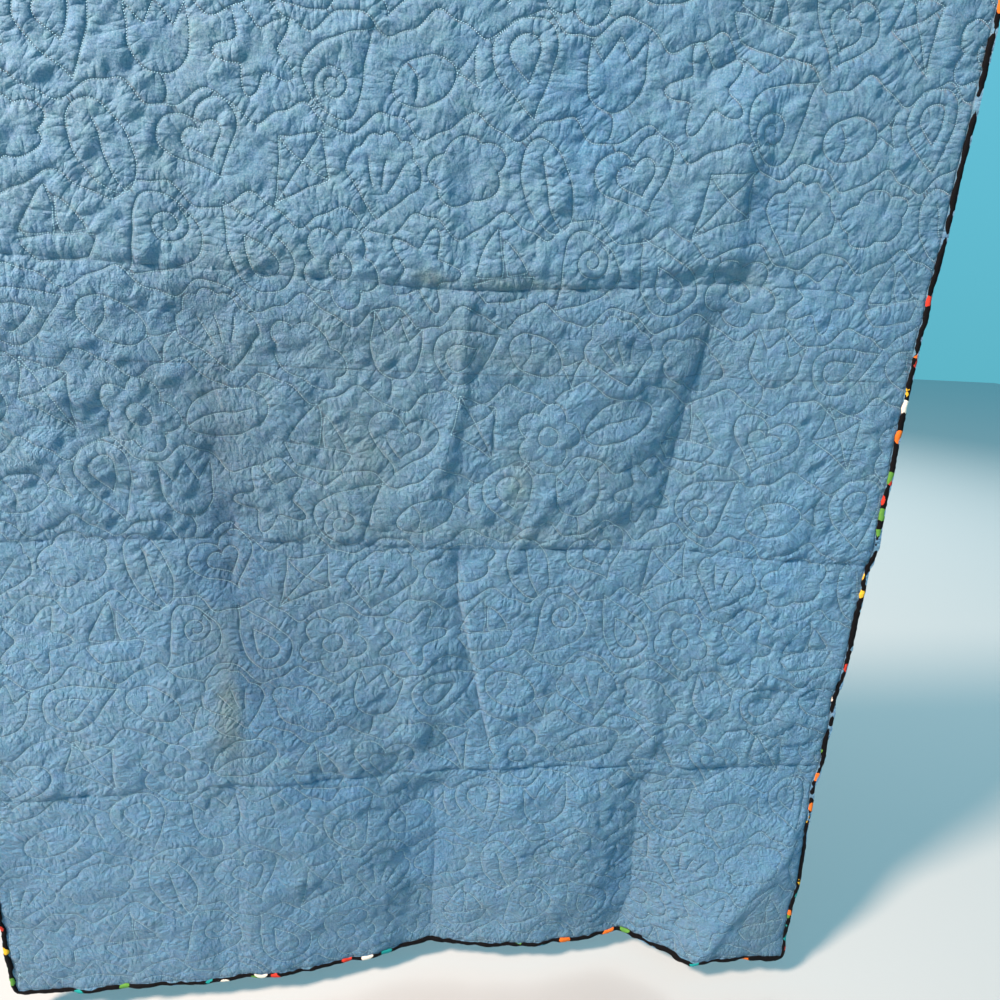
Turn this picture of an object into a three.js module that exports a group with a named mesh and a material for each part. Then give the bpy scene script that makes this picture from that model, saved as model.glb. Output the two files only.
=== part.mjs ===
// Patchwork crib quilt, hanging by its top edge.
//
// Millimetres, +Z up. The origin is the middle of the top edge, in the middle of the thickness.
// X runs along the width. The plain backing faces -Y and the patchwork side faces +Y.
//
// A place on the cloth is given by two lengths measured on the cloth itself: s across it from the
// left edge, and t down it from the top edge. The hanging surface is worked out from the sections
// and folds below: how far each place stands out on the backing side (-Y). Heights and widths are
// then taken up along the surface, so the cloth keeps its length over every fold.

import * as THREE from 'three';

// ---- driving dimensions (mm) ----

const WIDTH = 1100;             // cut size of the quilt, across
const HEIGHT = 1260;            // cut size of the quilt, down
const BACKING_THICKNESS = 1.5;  // backing with the nap of the filling behind it
const TOP_THICKNESS = 2.2;      // pieced top with its seam allowances
const PIECE_GAP = 0.3;          // clearance between neighbouring pieces
const BINDING_WALL = 1.2;       // doubled binding cloth
const BINDING_ON_BACK = 6;      // width of the binding on the backing side
const BINDING_ON_FRONT = 8;     // width of the binding on the patchwork side
const BINDING_RIM = 1.5;        // binding beyond the raw edges it covers
const EDGE_CELL = 9;            // outermost row of facets, just wider than the binding
const TOP_EDGE_EASE = 70;       // the held top edge is straight; folds grow in over this length
const WALK_STEP = 5;            // step of the walk that takes up length over the folds

// Storage creases: where the cloth was folded into quarters both ways.
const CREASES_ACROSS = [283, 563, 843];  // s of the three creases that run down
const CREASES_DOWN = [315, 630, 945];    // t of the three creases that run across

// Broad swing of the cloth out towards the backing side, at stations across (s) for each height (t).
const SWING_STATIONS = [0, 283, 563, 843, 978, WIDTH];
const SWING = [
  { t: 0, out: [0, 0, 0, 0, 0, 0] },
  { t: 315, out: [3, 0, 0, 5, 7, 4] },
  { t: 630, out: [-16, -20, -12, -4, 9, 14] },
  { t: 945, out: [24, 20, -2, 3, 12, 10] },
  { t: HEIGHT, out: [24, 29, -7, -2, 48, 62] },
];

// Creases and soft folds. `runs` is the direction the fold runs in. `path` lists [along, across]
// points: s then t for a fold that runs across, t then s for one that runs down. `out` is the height
// of a ridge on the backing side, or the depth of a valley if negative. `reach` is how fast the fold
// dies away beside its line, `tip` how round its crest is, and `fade` the length of its soft ends.
const FOLDS = [
  { name: 'first crease', runs: 'across',
    path: [[0, 320], [310, 324], [565, 331], [875, 308], [1100, 304]],
    out: -4, reach: 32, tip: 2.5, fade: 0 },
  { name: 'first crease, pressed deeper', runs: 'across',
    path: [[600, 329], [850, 310]],
    out: -5, reach: 26, tip: 1.5, fade: 70 },
  { name: 'lip over the first crease', runs: 'across',
    path: [[590, 312], [840, 293]],
    out: 4, reach: 9, tip: 5, fade: 70 },
  { name: 'second crease', runs: 'across',
    path: [[0, 632], [286, 627], [566, 634], [786, 630], [1100, 640]],
    out: -6, reach: 34, tip: 2.5, fade: 0 },
  { name: 'third crease', runs: 'across',
    path: [[0, 953], [281, 950], [635, 948], [1017, 949], [1100, 950]],
    out: -6, reach: 34, tip: 2.5, fade: 0 },

  { name: 'left crease, first row', runs: 'down',
    path: [[60, 280], [270, 284]],
    out: -5, reach: 28, tip: 5, fade: 45 },
  { name: 'left crease, second row', runs: 'down',
    path: [[380, 286], [590, 296]],
    out: -9, reach: 38, tip: 4, fade: 50 },
  { name: 'left crease, third row', runs: 'down',
    path: [[675, 300], [830, 330], [905, 312]],
    out: -8, reach: 36, tip: 4, fade: 45 },
  { name: 'left crease, last row', runs: 'down',
    path: [[985, 302], [1110, 294], [1260, 288]],
    out: -5, reach: 22, tip: 3, fade: 40 },

  { name: 'middle crease, first row', runs: 'down',
    path: [[60, 550], [195, 558], [285, 564]],
    out: -5, reach: 24, tip: 4, fade: 35 },
  { name: 'middle crease, second row', runs: 'down',
    path: [[350, 565], [413, 563], [445, 575], [540, 550], [590, 520]],
    out: 5.5, reach: 18, tip: 2, fade: 35 },
  { name: 'middle crease, third row', runs: 'down',
    path: [[660, 569], [700, 571], [765, 587], [905, 618]],
    out: -6.5, reach: 20, tip: 2, fade: 35 },
  { name: 'roll beside the middle crease', runs: 'down',
    path: [[710, 516], [880, 522]],
    out: 3, reach: 12, tip: 5, fade: 40 },
  { name: 'middle crease, last row', runs: 'down',
    path: [[985, 550], [1095, 554], [1260, 552]],
    out: -9, reach: 42, tip: 3, fade: 38 },
  { name: 'soft roll in the last row', runs: 'down',
    path: [[990, 655], [1260, 678]],
    out: 4, reach: 34, tip: 24, fade: 45 },

  { name: 'right crease, first row', runs: 'down',
    path: [[150, 832], [221, 846], [272, 856]],
    out: 8, reach: 28, tip: 4, fade: 42 },
  { name: 'right crease, second row', runs: 'down',
    path: [[362, 835], [419, 823], [461, 816], [551, 808], [592, 801]],
    out: -13, reach: 40, tip: 2.5, fade: 42 },
  { name: 'right crease, head of the third row', runs: 'down',
    path: [[662, 815], [685, 820]],
    out: -4, reach: 15, tip: 3, fade: 28 },
  { name: 'right crease, third row', runs: 'down',
    path: [[745, 816], [803, 826], [905, 843]],
    out: 5.5, reach: 16, tip: 3, fade: 36 },
  { name: 'right crease, last row', runs: 'down',
    path: [[990, 842], [1098, 843], [1180, 851], [1260, 834]],
    out: -12, reach: 42, tip: 2.5, fade: 42 },
  { name: 'bottom corner turned back', runs: 'down',
    path: [[1075, 1066], [1100, 1047], [1137, 1018], [1203, 986], [1260, 956]],
    out: 15, reach: 44, tip: 2, fade: 60 },
  { name: 'right edge curled away', runs: 'down',
    path: [[1080, 1100], [1260, 1100]],
    out: -10, reach: 24, tip: 8, fade: 110 },
];

// ---- the hanging surface ----

const clamp = (x, low, high) => Math.min(high, Math.max(low, x));
const lerp = (a, b, f) => a + (b - a) * f;
const ease = (x) => x * x * (3 - 2 * x);           // level at both ends, for x from 0 to 1
const softened = (x) => lerp(x, ease(x), 0.5);     // half way between straight and eased

// Index of the interval of `stops` that holds x, and the fraction of the way through it.
function locate(stops, x) {
  let k = 0;
  while (k < stops.length - 2 && x > stops[k + 1]) k += 1;
  return [k, clamp((x - stops[k]) / (stops[k + 1] - stops[k]), 0, 1)];
}

// Where a fold's line lies, at a distance `along` its run.
function pathAt(path, along) {
  const [k, f] = locate(path.map((point) => point[0]), along);
  return lerp(path[k][1], path[k + 1][1], f);
}

function foldOut(fold, s, t) {
  const along = fold.runs === 'down' ? t : s;
  const across = fold.runs === 'down' ? s : t;
  const start = fold.path[0][0];
  const end = fold.path[fold.path.length - 1][0];
  const beyond = Math.max(start - along, along - end, 0);
  if (fold.fade > 0 && beyond >= fold.fade) return 0;
  const off = across - pathAt(fold.path, along);
  const profile = Math.exp(-(Math.hypot(off, fold.tip) - fold.tip) / fold.reach);
  return fold.out * profile * (fold.fade > 0 ? 1 - ease(beyond / fold.fade) : 1);
}

function swingOut(s, t) {
  const [row, down] = locate(SWING.map((section) => section.t), t);
  const [column, across] = locate(SWING_STATIONS, s);
  const sectionOut = (k) => lerp(SWING[k].out[column], SWING[k].out[column + 1], softened(across));
  return lerp(sectionOut(row), sectionOut(row + 1), ease(down));
}

function clothOut(s, t) {
  const folds = FOLDS.reduce((sum, fold) => sum + foldOut(fold, s, t), 0);
  return ease(clamp(t / TOP_EDGE_EASE, 0, 1)) * (swingOut(s, t) + folds);
}

// Length taken up along the surface from 0 to `length`, where `outAt` gives the way out.
function walked(length, outAt) {
  const steps = Math.max(1, Math.ceil(Math.abs(length) / WALK_STEP));
  const step = length / steps;
  let reached = 0;
  for (let k = 0; k < steps; k += 1) {
    const rise = outAt((k + 1) * step) - outAt(k * step);
    reached += Math.sign(step) * Math.sqrt(Math.max(step * step - rise * rise, 0));
  }
  return reached;
}

function clothPoint(s, t) {
  const middle = WIDTH / 2;
  const x = walked(s - middle, (way) => clothOut(middle + way, t));
  const z = -walked(t, (way) => clothOut(s, way));
  return new THREE.Vector3(x, -clothOut(s, t), z);
}

// ---- lattice of facets, closer together near the creases ----

const PANEL_FRACTIONS = [0.055, 0.17, 0.38, 0.62, 0.83, 0.945];
const HEM_PANEL_FRACTIONS = [0.055, 0.17, 0.33, 0.47, 0.6, 0.73, 0.87];  // the hem waves the most
const NEXT_TO_CREASE = 0.1;     // smaller fractions than this are left out beside the quilt's edge
function stations(total, creases, lastFractions) {
  const stops = [EDGE_CELL, ...creases, total - EDGE_CELL];
  const list = [0, EDGE_CELL];
  for (let k = 0; k + 1 < stops.length; k += 1) {
    const first = k === 0;
    const last = k + 2 === stops.length;
    const fractions = (last ? lastFractions : PANEL_FRACTIONS)
      .filter((f) => !(first && f < NEXT_TO_CREASE) && !(last && f > 1 - NEXT_TO_CREASE));
    list.push(...fractions.map((f) => lerp(stops[k], stops[k + 1], f)), stops[k + 1]);
  }
  list.push(total);
  return list;
}

const ACROSS = stations(WIDTH, CREASES_ACROSS, PANEL_FRACTIONS);
const DOWN = stations(HEIGHT, CREASES_DOWN, HEM_PANEL_FRACTIONS);
const LAST_ACROSS = ACROSS.length - 1;
const LAST_DOWN = DOWN.length - 1;

// The lattice's columns bend with the creases that run down, so that facets meet on the crease lines.
const CREASE_LINES = ['left', 'middle', 'right'].map((side) => FOLDS
  .filter((fold) => fold.name.startsWith(`${side} crease`))
  .flatMap((fold) => fold.path));
const BEND_REACH = 130;

function bentStation(s, t) {
  const shifts = CREASES_ACROSS.map((crease, k) => (pathAt(CREASE_LINES[k], t) - crease)
    * clamp(1 - Math.abs(s - crease) / BEND_REACH, 0, 1));
  return s + shifts.reduce((sum, shift) => sum + shift, 0);
}

const LATTICE = ACROSS.map((s) => DOWN.map((t) => clothPoint(bentStation(s, t), t)));

// Direction out of the backing side at a lattice point, from its neighbours.
function latticeNormal(i, j) {
  const across = LATTICE[Math.min(i + 1, LAST_ACROSS)][j].clone().sub(LATTICE[Math.max(i - 1, 0)][j]);
  const down = LATTICE[i][Math.min(j + 1, LAST_DOWN)].clone().sub(LATTICE[i][Math.max(j - 1, 0)]);
  return down.cross(across).normalize();
}

const NORMALS = ACROSS.map((_, i) => DOWN.map((__, j) => latticeNormal(i, j)));

function blended(grid, u, v) {
  const i = Math.min(Math.floor(u), LAST_ACROSS - 1);
  const j = Math.min(Math.floor(v), LAST_DOWN - 1);
  const upper = grid[i][j].clone().lerp(grid[i + 1][j], u - i);
  const lower = grid[i][j + 1].clone().lerp(grid[i + 1][j + 1], u - i);
  return upper.lerp(lower, v - j);
}

// A point at lattice place (u, v), `offset` mm out of the middle surface towards the backing side.
const onCloth = (u, v, offset) => blended(LATTICE, u, v).addScaledVector(blended(NORMALS, u, v), offset);

// ---- closed solids ----

const LIGHT_BLUE = 0x6d9bb5;
const PIECED = 0x8a5a52;
const BLACK_PRINT = 0x1c1c20;

function meshOf(name, points, faces, colour) {
  const geometry = new THREE.BufferGeometry();
  const coordinates = points.flatMap((point) => point.toArray());
  geometry.setAttribute('position', new THREE.Float32BufferAttribute(coordinates, 3));
  geometry.setIndex(faces.flat());
  geometry.computeVertexNormals();
  const material = new THREE.MeshStandardMaterial({ color: colour, roughness: 0.9, metalness: 0 });
  const mesh = new THREE.Mesh(geometry, material);
  mesh.name = name;
  return mesh;
}

const quad = (a, b, c, d) => [[a, b, c], [a, c, d]];

// A sheet between two offsets from the middle surface, ending inside the binding.
function sheet(name, low, high, colour) {
  const inset = (BINDING_RIM + PIECE_GAP) / EDGE_CELL;
  const places = (last) => Array.from({ length: last + 1 }, (_, k) => clamp(k, inset, last - inset));
  const us = places(LAST_ACROSS);
  const vs = places(LAST_DOWN);
  const skin = (offset) => us.flatMap((u) => vs.map((v) => onCloth(u, v, offset)));
  const points = [...skin(high), ...skin(low)];
  const upper = (i, j) => i * vs.length + j;
  const under = (i, j) => us.length * vs.length + upper(i, j);
  const faces = [];
  for (let i = 0; i < LAST_ACROSS; i += 1) {
    for (let j = 0; j < LAST_DOWN; j += 1) {
      faces.push(...quad(upper(i, j), upper(i, j + 1), upper(i + 1, j + 1), upper(i + 1, j)));
      faces.push(...quad(under(i, j), under(i + 1, j), under(i + 1, j + 1), under(i, j + 1)));
    }
  }
  for (let i = 0; i < LAST_ACROSS; i += 1) {
    faces.push(...quad(upper(i, 0), upper(i + 1, 0), under(i + 1, 0), under(i, 0)));
    faces.push(...quad(upper(i + 1, LAST_DOWN), upper(i, LAST_DOWN), under(i, LAST_DOWN),
      under(i + 1, LAST_DOWN)));
  }
  for (let j = 0; j < LAST_DOWN; j += 1) {
    faces.push(...quad(upper(0, j + 1), upper(0, j), under(0, j), under(0, j + 1)));
    faces.push(...quad(upper(LAST_ACROSS, j), upper(LAST_ACROSS, j + 1), under(LAST_ACROSS, j + 1),
      under(LAST_ACROSS, j)));
  }
  return meshOf(name, points, faces, colour);
}

// Section of the binding: distance in from the quilt's edge, and offset towards the backing side.
const HALF_LAYERS = (BACKING_THICKNESS + PIECE_GAP + TOP_THICKNESS) / 2;
const INNER_FACE = HALF_LAYERS + PIECE_GAP;
const OUTER_FACE = INNER_FACE + BINDING_WALL;
const BINDING_SECTION = [
  { inward: 0, offset: -OUTER_FACE },
  { inward: BINDING_ON_FRONT, offset: -OUTER_FACE },
  { inward: BINDING_ON_FRONT, offset: -INNER_FACE },
  { inward: BINDING_RIM, offset: -INNER_FACE },
  { inward: BINDING_RIM, offset: INNER_FACE },
  { inward: BINDING_ON_BACK, offset: INNER_FACE },
  { inward: BINDING_ON_BACK, offset: OUTER_FACE },
  { inward: 0, offset: OUTER_FACE },
];
const MITRE_CLEARANCE = PIECE_GAP / Math.SQRT2;  // each strip stops this far short of the mitre line

// One length of binding. `place` turns (station along, station in from the edge) into (u, v).
// `turned` says that this puts the section the other way round. `fromStart` says that stations in
// from this edge count up, and it splits each facet along the same diagonal as the sheet under it.
function binding(name, lastAlong, place, turned, fromStart) {
  const rings = [];
  for (let k = 0; k <= lastAlong; k += 1) {
    rings.push(BINDING_SECTION.map(({ inward, offset }) => {
      const mitre = (inward + MITRE_CLEARANCE) / EDGE_CELL;
      return onCloth(...place(clamp(k, mitre, lastAlong - mitre), inward / EDGE_CELL), offset);
    }));
  }
  const size = BINDING_SECTION.length;
  const points = rings.flat();
  const faces = [];
  for (let k = 0; k < lastAlong; k += 1) {
    for (let c = 0; c < size; c += 1) {
      const next = (c + 1) % size;
      const [here, there] = [k * size, (k + 1) * size];
      const inwards = BINDING_SECTION[next].inward > BINDING_SECTION[c].inward;
      faces.push(...(inwards === fromStart
        ? quad(here + c, there + c, there + next, here + next)
        : quad(there + c, there + next, here + next, here + c)));
    }
  }
  const [front, web, back] = [[0, 1, 2, 3], [0, 3, 4, 7], [4, 5, 6, 7]];
  const end = lastAlong * size;
  [front, web, back].forEach(([a, b, c, d]) => {
    faces.push(...quad(a, b, c, d), ...quad(end + a, end + d, end + c, end + b));
  });
  return meshOf(name, points, turned ? faces.map(([a, b, c]) => [a, c, b]) : faces, BLACK_PRINT);
}

// ---- the quilt ----

const quilt = new THREE.Group();
quilt.add(
  sheet('backing', HALF_LAYERS - BACKING_THICKNESS, HALF_LAYERS, LIGHT_BLUE),
  sheet('patchwork_top', -HALF_LAYERS, TOP_THICKNESS - HALF_LAYERS, PIECED),
  binding('binding_top', LAST_ACROSS, (along, inward) => [along, inward], false, true),
  binding('binding_bottom', LAST_ACROSS, (along, inward) => [along, LAST_DOWN - inward], true, false),
  binding('binding_left', LAST_DOWN, (along, inward) => [inward, along], true, true),
  binding('binding_right', LAST_DOWN, (along, inward) => [LAST_ACROSS - inward, along], false, false),
);

export default quilt;
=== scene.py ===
"""Patchwork crib quilt, hanging by its top edge with its plain light blue backing towards the camera.

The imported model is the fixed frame, in metres, +Z up. The origin is the middle of the top edge, and
the backing faces -Y. A place on the cloth is given as (s, t): s is the length across it from the left
edge, and t the length down it from the top edge, both measured on the cloth itself.

The backing and the pieced top follow the hanging surface. Between the quilting lines the filling lifts
them, short puckers run out from the lines, and soft dunes lie between.
"""

import math
from functools import reduce
from operator import add

import bpy
import numpy as np
from mathutils import Matrix, Vector
from mathutils.kdtree import KDTree


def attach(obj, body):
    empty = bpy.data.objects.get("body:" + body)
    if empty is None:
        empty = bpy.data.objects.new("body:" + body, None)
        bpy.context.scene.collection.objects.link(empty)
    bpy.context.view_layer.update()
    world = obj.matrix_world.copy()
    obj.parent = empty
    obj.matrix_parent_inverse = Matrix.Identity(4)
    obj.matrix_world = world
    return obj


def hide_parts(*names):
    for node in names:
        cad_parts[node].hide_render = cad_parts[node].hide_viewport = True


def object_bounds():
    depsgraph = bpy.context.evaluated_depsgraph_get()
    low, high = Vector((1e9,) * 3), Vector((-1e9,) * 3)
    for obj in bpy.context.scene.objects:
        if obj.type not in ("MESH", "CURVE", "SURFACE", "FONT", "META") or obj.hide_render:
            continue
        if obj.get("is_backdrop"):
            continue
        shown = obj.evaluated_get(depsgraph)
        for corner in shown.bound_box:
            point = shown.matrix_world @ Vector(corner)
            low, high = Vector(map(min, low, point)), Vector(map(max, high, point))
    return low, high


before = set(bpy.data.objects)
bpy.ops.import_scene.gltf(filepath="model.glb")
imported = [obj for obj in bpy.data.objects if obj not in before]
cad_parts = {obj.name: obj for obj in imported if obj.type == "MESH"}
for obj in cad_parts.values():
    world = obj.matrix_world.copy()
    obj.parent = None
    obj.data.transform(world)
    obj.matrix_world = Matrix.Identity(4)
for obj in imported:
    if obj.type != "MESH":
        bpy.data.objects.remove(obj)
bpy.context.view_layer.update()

# ---- driving dimensions (metres) ----

MM = 0.001
WIDTH = 1100 * MM
HEIGHT = 1260 * MM
TAU = 2 * math.pi

BACKING_LIFT = 0.9 * MM        # backing at the quilting lines, out of the middle surface
TOP_LIFT = -0.9 * MM           # pieced top at the quilting lines
SHEET_INSET = 1.8 * MM         # both sheets end this far inside the quilt's outer edge
PATCHES_ACROSS = 12
PATCHES_DOWN = 14

BACKING_COLUMNS = 294
BACKING_ROWS = 337
TOP_CELLS_PER_PATCH = 22

STITCH_PITCH = 2.4 * MM
STITCH_LENGTH = 1.75 * MM
THREAD_WIDTH = 0.95 * MM
THREAD_RISE = 0.4 * MM         # middle of a stitch, out of the cloth at the quilting lines
HOLE_DEPTH = -0.2 * MM         # its ends, where the thread goes through

# ---- the hanging surface, with plain numbers in millimetres ----

TOP_EDGE_EASE = 70             # the held top edge is straight; folds grow in over this length
WALK_STEP = 5 * MM             # step of the walk that takes up length over the folds
SLOPE_STEP = 0.5 * MM          # the cloth's slope is taken over this much either way
INSIDE_CELL = 0.9999           # a place on a grid's far edge counts as this far into the last cell

# How far the cloth swings out towards the backing side, at stations across for each height.
SWING_STATIONS = [0, 283, 563, 843, 978, 1100]
SWING_HEIGHTS = [0, 315, 630, 945, 1260]
SWING_OUT = [
    [0, 0, 0, 0, 0, 0],
    [3, 0, 0, 5, 7, 4],
    [-16, -20, -12, -4, 9, 14],
    [24, 20, -2, 3, 12, 10],
    [24, 29, -7, -2, 48, 62],
]

# Creases and soft folds: the line each follows as (along, across), its height on the backing side (less
# than 0 is a valley), how fast it dies away beside its line, how round its crest is, and the length of
# its soft ends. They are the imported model's, but two creases of row 2 lie up to 12 mm from theirs.
FOLDS_ACROSS = [
    ([(0, 320), (310, 324), (565, 331), (875, 308), (1100, 304)], -4, 32, 2.5, 0),
    ([(600, 329), (850, 310)], -5, 26, 1.5, 70),
    ([(590, 312), (840, 293)], 4, 9, 5, 70),
    ([(0, 632), (286, 627), (566, 634), (786, 630), (1100, 640)], -6, 34, 2.5, 0),
    ([(0, 953), (281, 950), (635, 948), (1017, 949), (1100, 950)], -6, 34, 2.5, 0),
]
FOLDS_DOWN = [
    # left crease, row by row
    ([(60, 280), (270, 284)], -5, 28, 5, 45),
    ([(380, 286), (590, 296)], -9, 38, 4, 50),
    ([(675, 300), (830, 330), (905, 312)], -8, 36, 4, 45),
    ([(985, 302), (1110, 294), (1260, 288)], -5, 22, 3, 40),
    # middle crease, row by row, with the roll beside it
    ([(60, 550), (195, 558), (285, 564)], -5, 24, 4, 35),
    ([(350, 565), (413, 563), (449, 563), (490, 552), (540, 543), (590, 520)], 5.5, 18, 2, 35),
    ([(660, 569), (700, 571), (765, 587), (905, 618)], -6.5, 20, 2, 35),
    ([(710, 516), (880, 522)], 3, 12, 5, 40),
    ([(985, 550), (1095, 554), (1260, 552)], -9, 42, 3, 38),
    ([(990, 655), (1260, 678)], 4, 34, 24, 45),
    # right crease, row by row
    ([(150, 832), (221, 846), (272, 856)], 8, 28, 4, 42),
    ([(355, 844), (419, 832), (461, 825), (551, 817), (592, 810)], -9, 48, 2.5, 42),
    ([(662, 815), (685, 820)], -4, 15, 3, 28),
    ([(745, 816), (803, 826), (905, 843)], 5.5, 16, 3, 36),
    ([(990, 842), (1098, 843), (1180, 851), (1260, 834)], -12, 42, 2.5, 42),
    # bottom corner turned back, and the right edge curled away
    ([(1075, 1066), (1100, 1047), (1137, 1018), (1203, 986), (1260, 956)], 15, 44, 2, 60),
    ([(1080, 1100), (1260, 1100)], -10, 24, 8, 110),
]

# Smaller folds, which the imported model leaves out.
SMALL_FOLDS_ACROSS = [
    # row 1
    ([(800, 108), (816, 94), (839, 72), (872, 46)], -4, 12, 3, 20),
    ([(600, 327), (770, 315), (880, 306)], 5, 24, 5, 60),
    ([(620, 316), (840, 300)], -2.8, 9, 5, 60),
    ([(800, 300), (890, 295)], -2.5, 10, 4, 40),
]
SMALL_FOLDS_DOWN = [
    # row 1
    ([(110, 858), (175, 852)], 3, 14, 6, 30),
    ([(230, 858), (292, 866)], -4, 16, 6, 30),
    ([(175, 884), (236, 876), (284, 870), (310, 864)], -4.2, 30, 8, 36),
    ([(60, 553), (195, 561), (285, 567)], 4, 22, 8, 35),
    ([(175, 557), (300, 565)], -1.6, 7, 1.5, 30),
    ([(200, 534), (270, 537)], 2.5, 8, 4, 18),
    # row 2
    ([(600, 300), (700, 297)], -4.5, 12, 4, 24),
    ([(400, 287), (590, 296)], 4, 30, 6, 40),
    ([(345, 563), (383, 560), (449, 561), (490, 550), (530, 541)], 3, 9, 1.5, 16),
    ([(405, 572), (445, 574), (500, 564)], -2.5, 14, 4, 30),
    ([(345, 572), (372, 573)], -1.5, 6, 2, 14),
    ([(525, 556), (590, 522)], -3, 16, 3, 28),
    ([(345, 851), (400, 845), (440, 834)], -2.5, 20, 4, 30),
    ([(440, 827), (461, 825), (551, 817), (592, 810)], -2.5, 14, 2.5, 30),
    ([(310, 888), (440, 868)], -4.5, 30, 16, 40),
    ([(380, 752), (560, 720)], 4, 60, 34, 60),
    ([(570, 670), (613, 647), (650, 629)], 3.5, 9, 4, 20),
    # row 3
    ([(700, 302), (830, 328), (905, 313)], 4, 22, 3, 40),
    ([(655, 566), (700, 568), (765, 582), (840, 601)], -3, 9, 1.5, 30),
    ([(680, 578), (771, 596), (843, 613), (915, 631)], 4.5, 10, 4, 25),
    ([(740, 526), (850, 530)], 3.5, 26, 7, 40),
    ([(750, 817), (803, 826), (895, 841)], 1.5, 8, 2, 30),
    ([(690, 880), (930, 905)], 5, 40, 22, 60),
    # row 4
    ([(990, 522), (1250, 520)], -4, 30, 12, 40),
    ([(1000, 768), (1250, 724)], 8, 46, 24, 50),
    ([(985, 302), (1110, 294), (1260, 288)], 3.5, 22, 6, 40),
    ([(985, 272), (1260, 268)], -4, 24, 8, 40),
]

# Lips: above a crease the cloth bulges, then turns in to it. The crease's path as (across, down, how
# far the lip stands out there), and how far above the crease it does.
LIPS = [
    (
        [
            (0, 320, 1.6), (420, 327, 1.6), (490, 329, 3), (565, 331, 2.8),
            (760, 317, 0.8), (810, 313, 0), (1100, 304, 0),
        ],
        13,
    ),
    ([(0, 632, 1), (286, 627, 1), (566, 634, 1), (786, 630, 1), (1100, 640, 1)], 6),
    ([(0, 953, 1), (281, 950, 1), (635, 948, 1), (1017, 949, 1), (1100, 950, 1)], 6),
]

# Larger puffs and dents, most of them in row 1: centre (across, down), half length and half width of
# the crest, how steeply it rises to the right (degrees), and its height (less than 0 is a dent).
PUFFS = [
    (645, 245, 27, 9, 45, 1.8), (733, 250, 28, 10, 55, 2.6), (673, 174, 22, 10, 50, -2.0),
    (440, 105, 38, 9, 35, 2.4), (646, 95, 48, 15, 25, 2.8), (724, 147, 25, 10, 12, -2.0),
    (343, 280, 14, 13, 45, 1.2), (359, 244, 13, 8, 20, -1.6), (326, 143, 30, 16, 60, 2.4),
    (815, 135, 46, 20, 50, 2.3), (508, 214, 20, 12, 65, 1.9), (402, 196, 32, 12, 40, 1.9),
    (572, 398, 18, 7, 90, 1.8),
]

# Swells: broad, shallow waves every way, below the first crease.
SWELL_WAVES = 40
SWELL_PITCH = (60, 140)
SWELL_HEIGHT = 1.1
SWELL_FROM, SWELL_FULL = 150, 500
SWELL_SEED = 21

# The hem ripples: pitch of each ripple, its height at the hem, and how soon it dies away above it.
HEM_RIPPLES = [(61, 1.1), (37, 0.8), (23, 0.5)]
HEM_REACH = 16


def ease(x):
    """Level at both ends, for x from 0 to 1."""
    x = np.clip(x, 0, 1)
    return x * x * (3 - 2 * x)


def beside(path, along, across):
    """How far places lie beside a path, and how far past its ends."""
    path_along, path_across = np.array(path, float).T
    past = np.maximum(np.maximum(path_along[0] - along, along - path_along[-1]), 0)
    return across - np.interp(along, path_along, path_across), past


def fold_out(fold, along, across):
    path, out, reach, tip, fade = fold
    off, past = beside(path, along, across)
    height = out * np.exp(-(np.hypot(off, tip) - tip) / reach)
    return height * (1 - ease(past / fade)) if fade else height


def lip_out(lip, s, t):
    path, above = lip
    across, down, out = np.array(path, float).T
    x = np.maximum(np.interp(s, across, down) - t, 0) / above
    return np.interp(s, across, out) * x * np.exp(1 - x)


def puff_out(puff, s, t):
    across, down, length, width, rise, out = puff
    level, upright = math.cos(math.radians(rise)), math.sin(math.radians(rise))
    along = (s - across) * level - (t - down) * upright
    off = (s - across) * upright + (t - down) * level
    return out * np.exp(-((along / length) ** 2) - (off / width) ** 2)


def swell_out(s, t):
    random = np.random.default_rng(SWELL_SEED)
    height = np.zeros_like(s)
    for _ in range(SWELL_WAVES):
        heading = random.uniform(0, TAU)
        pitch = random.uniform(*SWELL_PITCH)
        start = random.uniform(0, TAU)
        height += np.sin(TAU / pitch * (s * math.cos(heading) + t * math.sin(heading)) + start)
    grown = ease((t - SWELL_FROM) / (SWELL_FULL - SWELL_FROM))
    return SWELL_HEIGHT * math.sqrt(2 / SWELL_WAVES) * grown * height


def hem_out(s, t):
    ripple = sum(height * np.sin(TAU * s / pitch + pitch) for pitch, height in HEM_RIPPLES)
    return ripple * np.exp((t - HEIGHT / MM) / HEM_REACH)


def stretch_of(stations, x):
    """The number of the stretch between stations that x lies in, and how far along it from 0 to 1."""
    stations = np.array(stations, float)
    k = np.clip(np.searchsorted(stations, x, "right") - 1, 0, len(stations) - 2)
    return k, (x - stations[k]) / (stations[k + 1] - stations[k])


def between(table, row, down, column, across):
    """A value in a cell of a table, between its four corners."""
    table = np.array(table, float)
    upper = table[row, column] + (table[row, column + 1] - table[row, column]) * across
    lower = table[row + 1, column] + (table[row + 1, column + 1] - table[row + 1, column]) * across
    return upper + (lower - upper) * down


def swing_out(s, t):
    row, down = stretch_of(SWING_HEIGHTS, t)
    column, across = stretch_of(SWING_STATIONS, s)
    return between(SWING_OUT, row, ease(down), column, (across + ease(across)) / 2)


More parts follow.
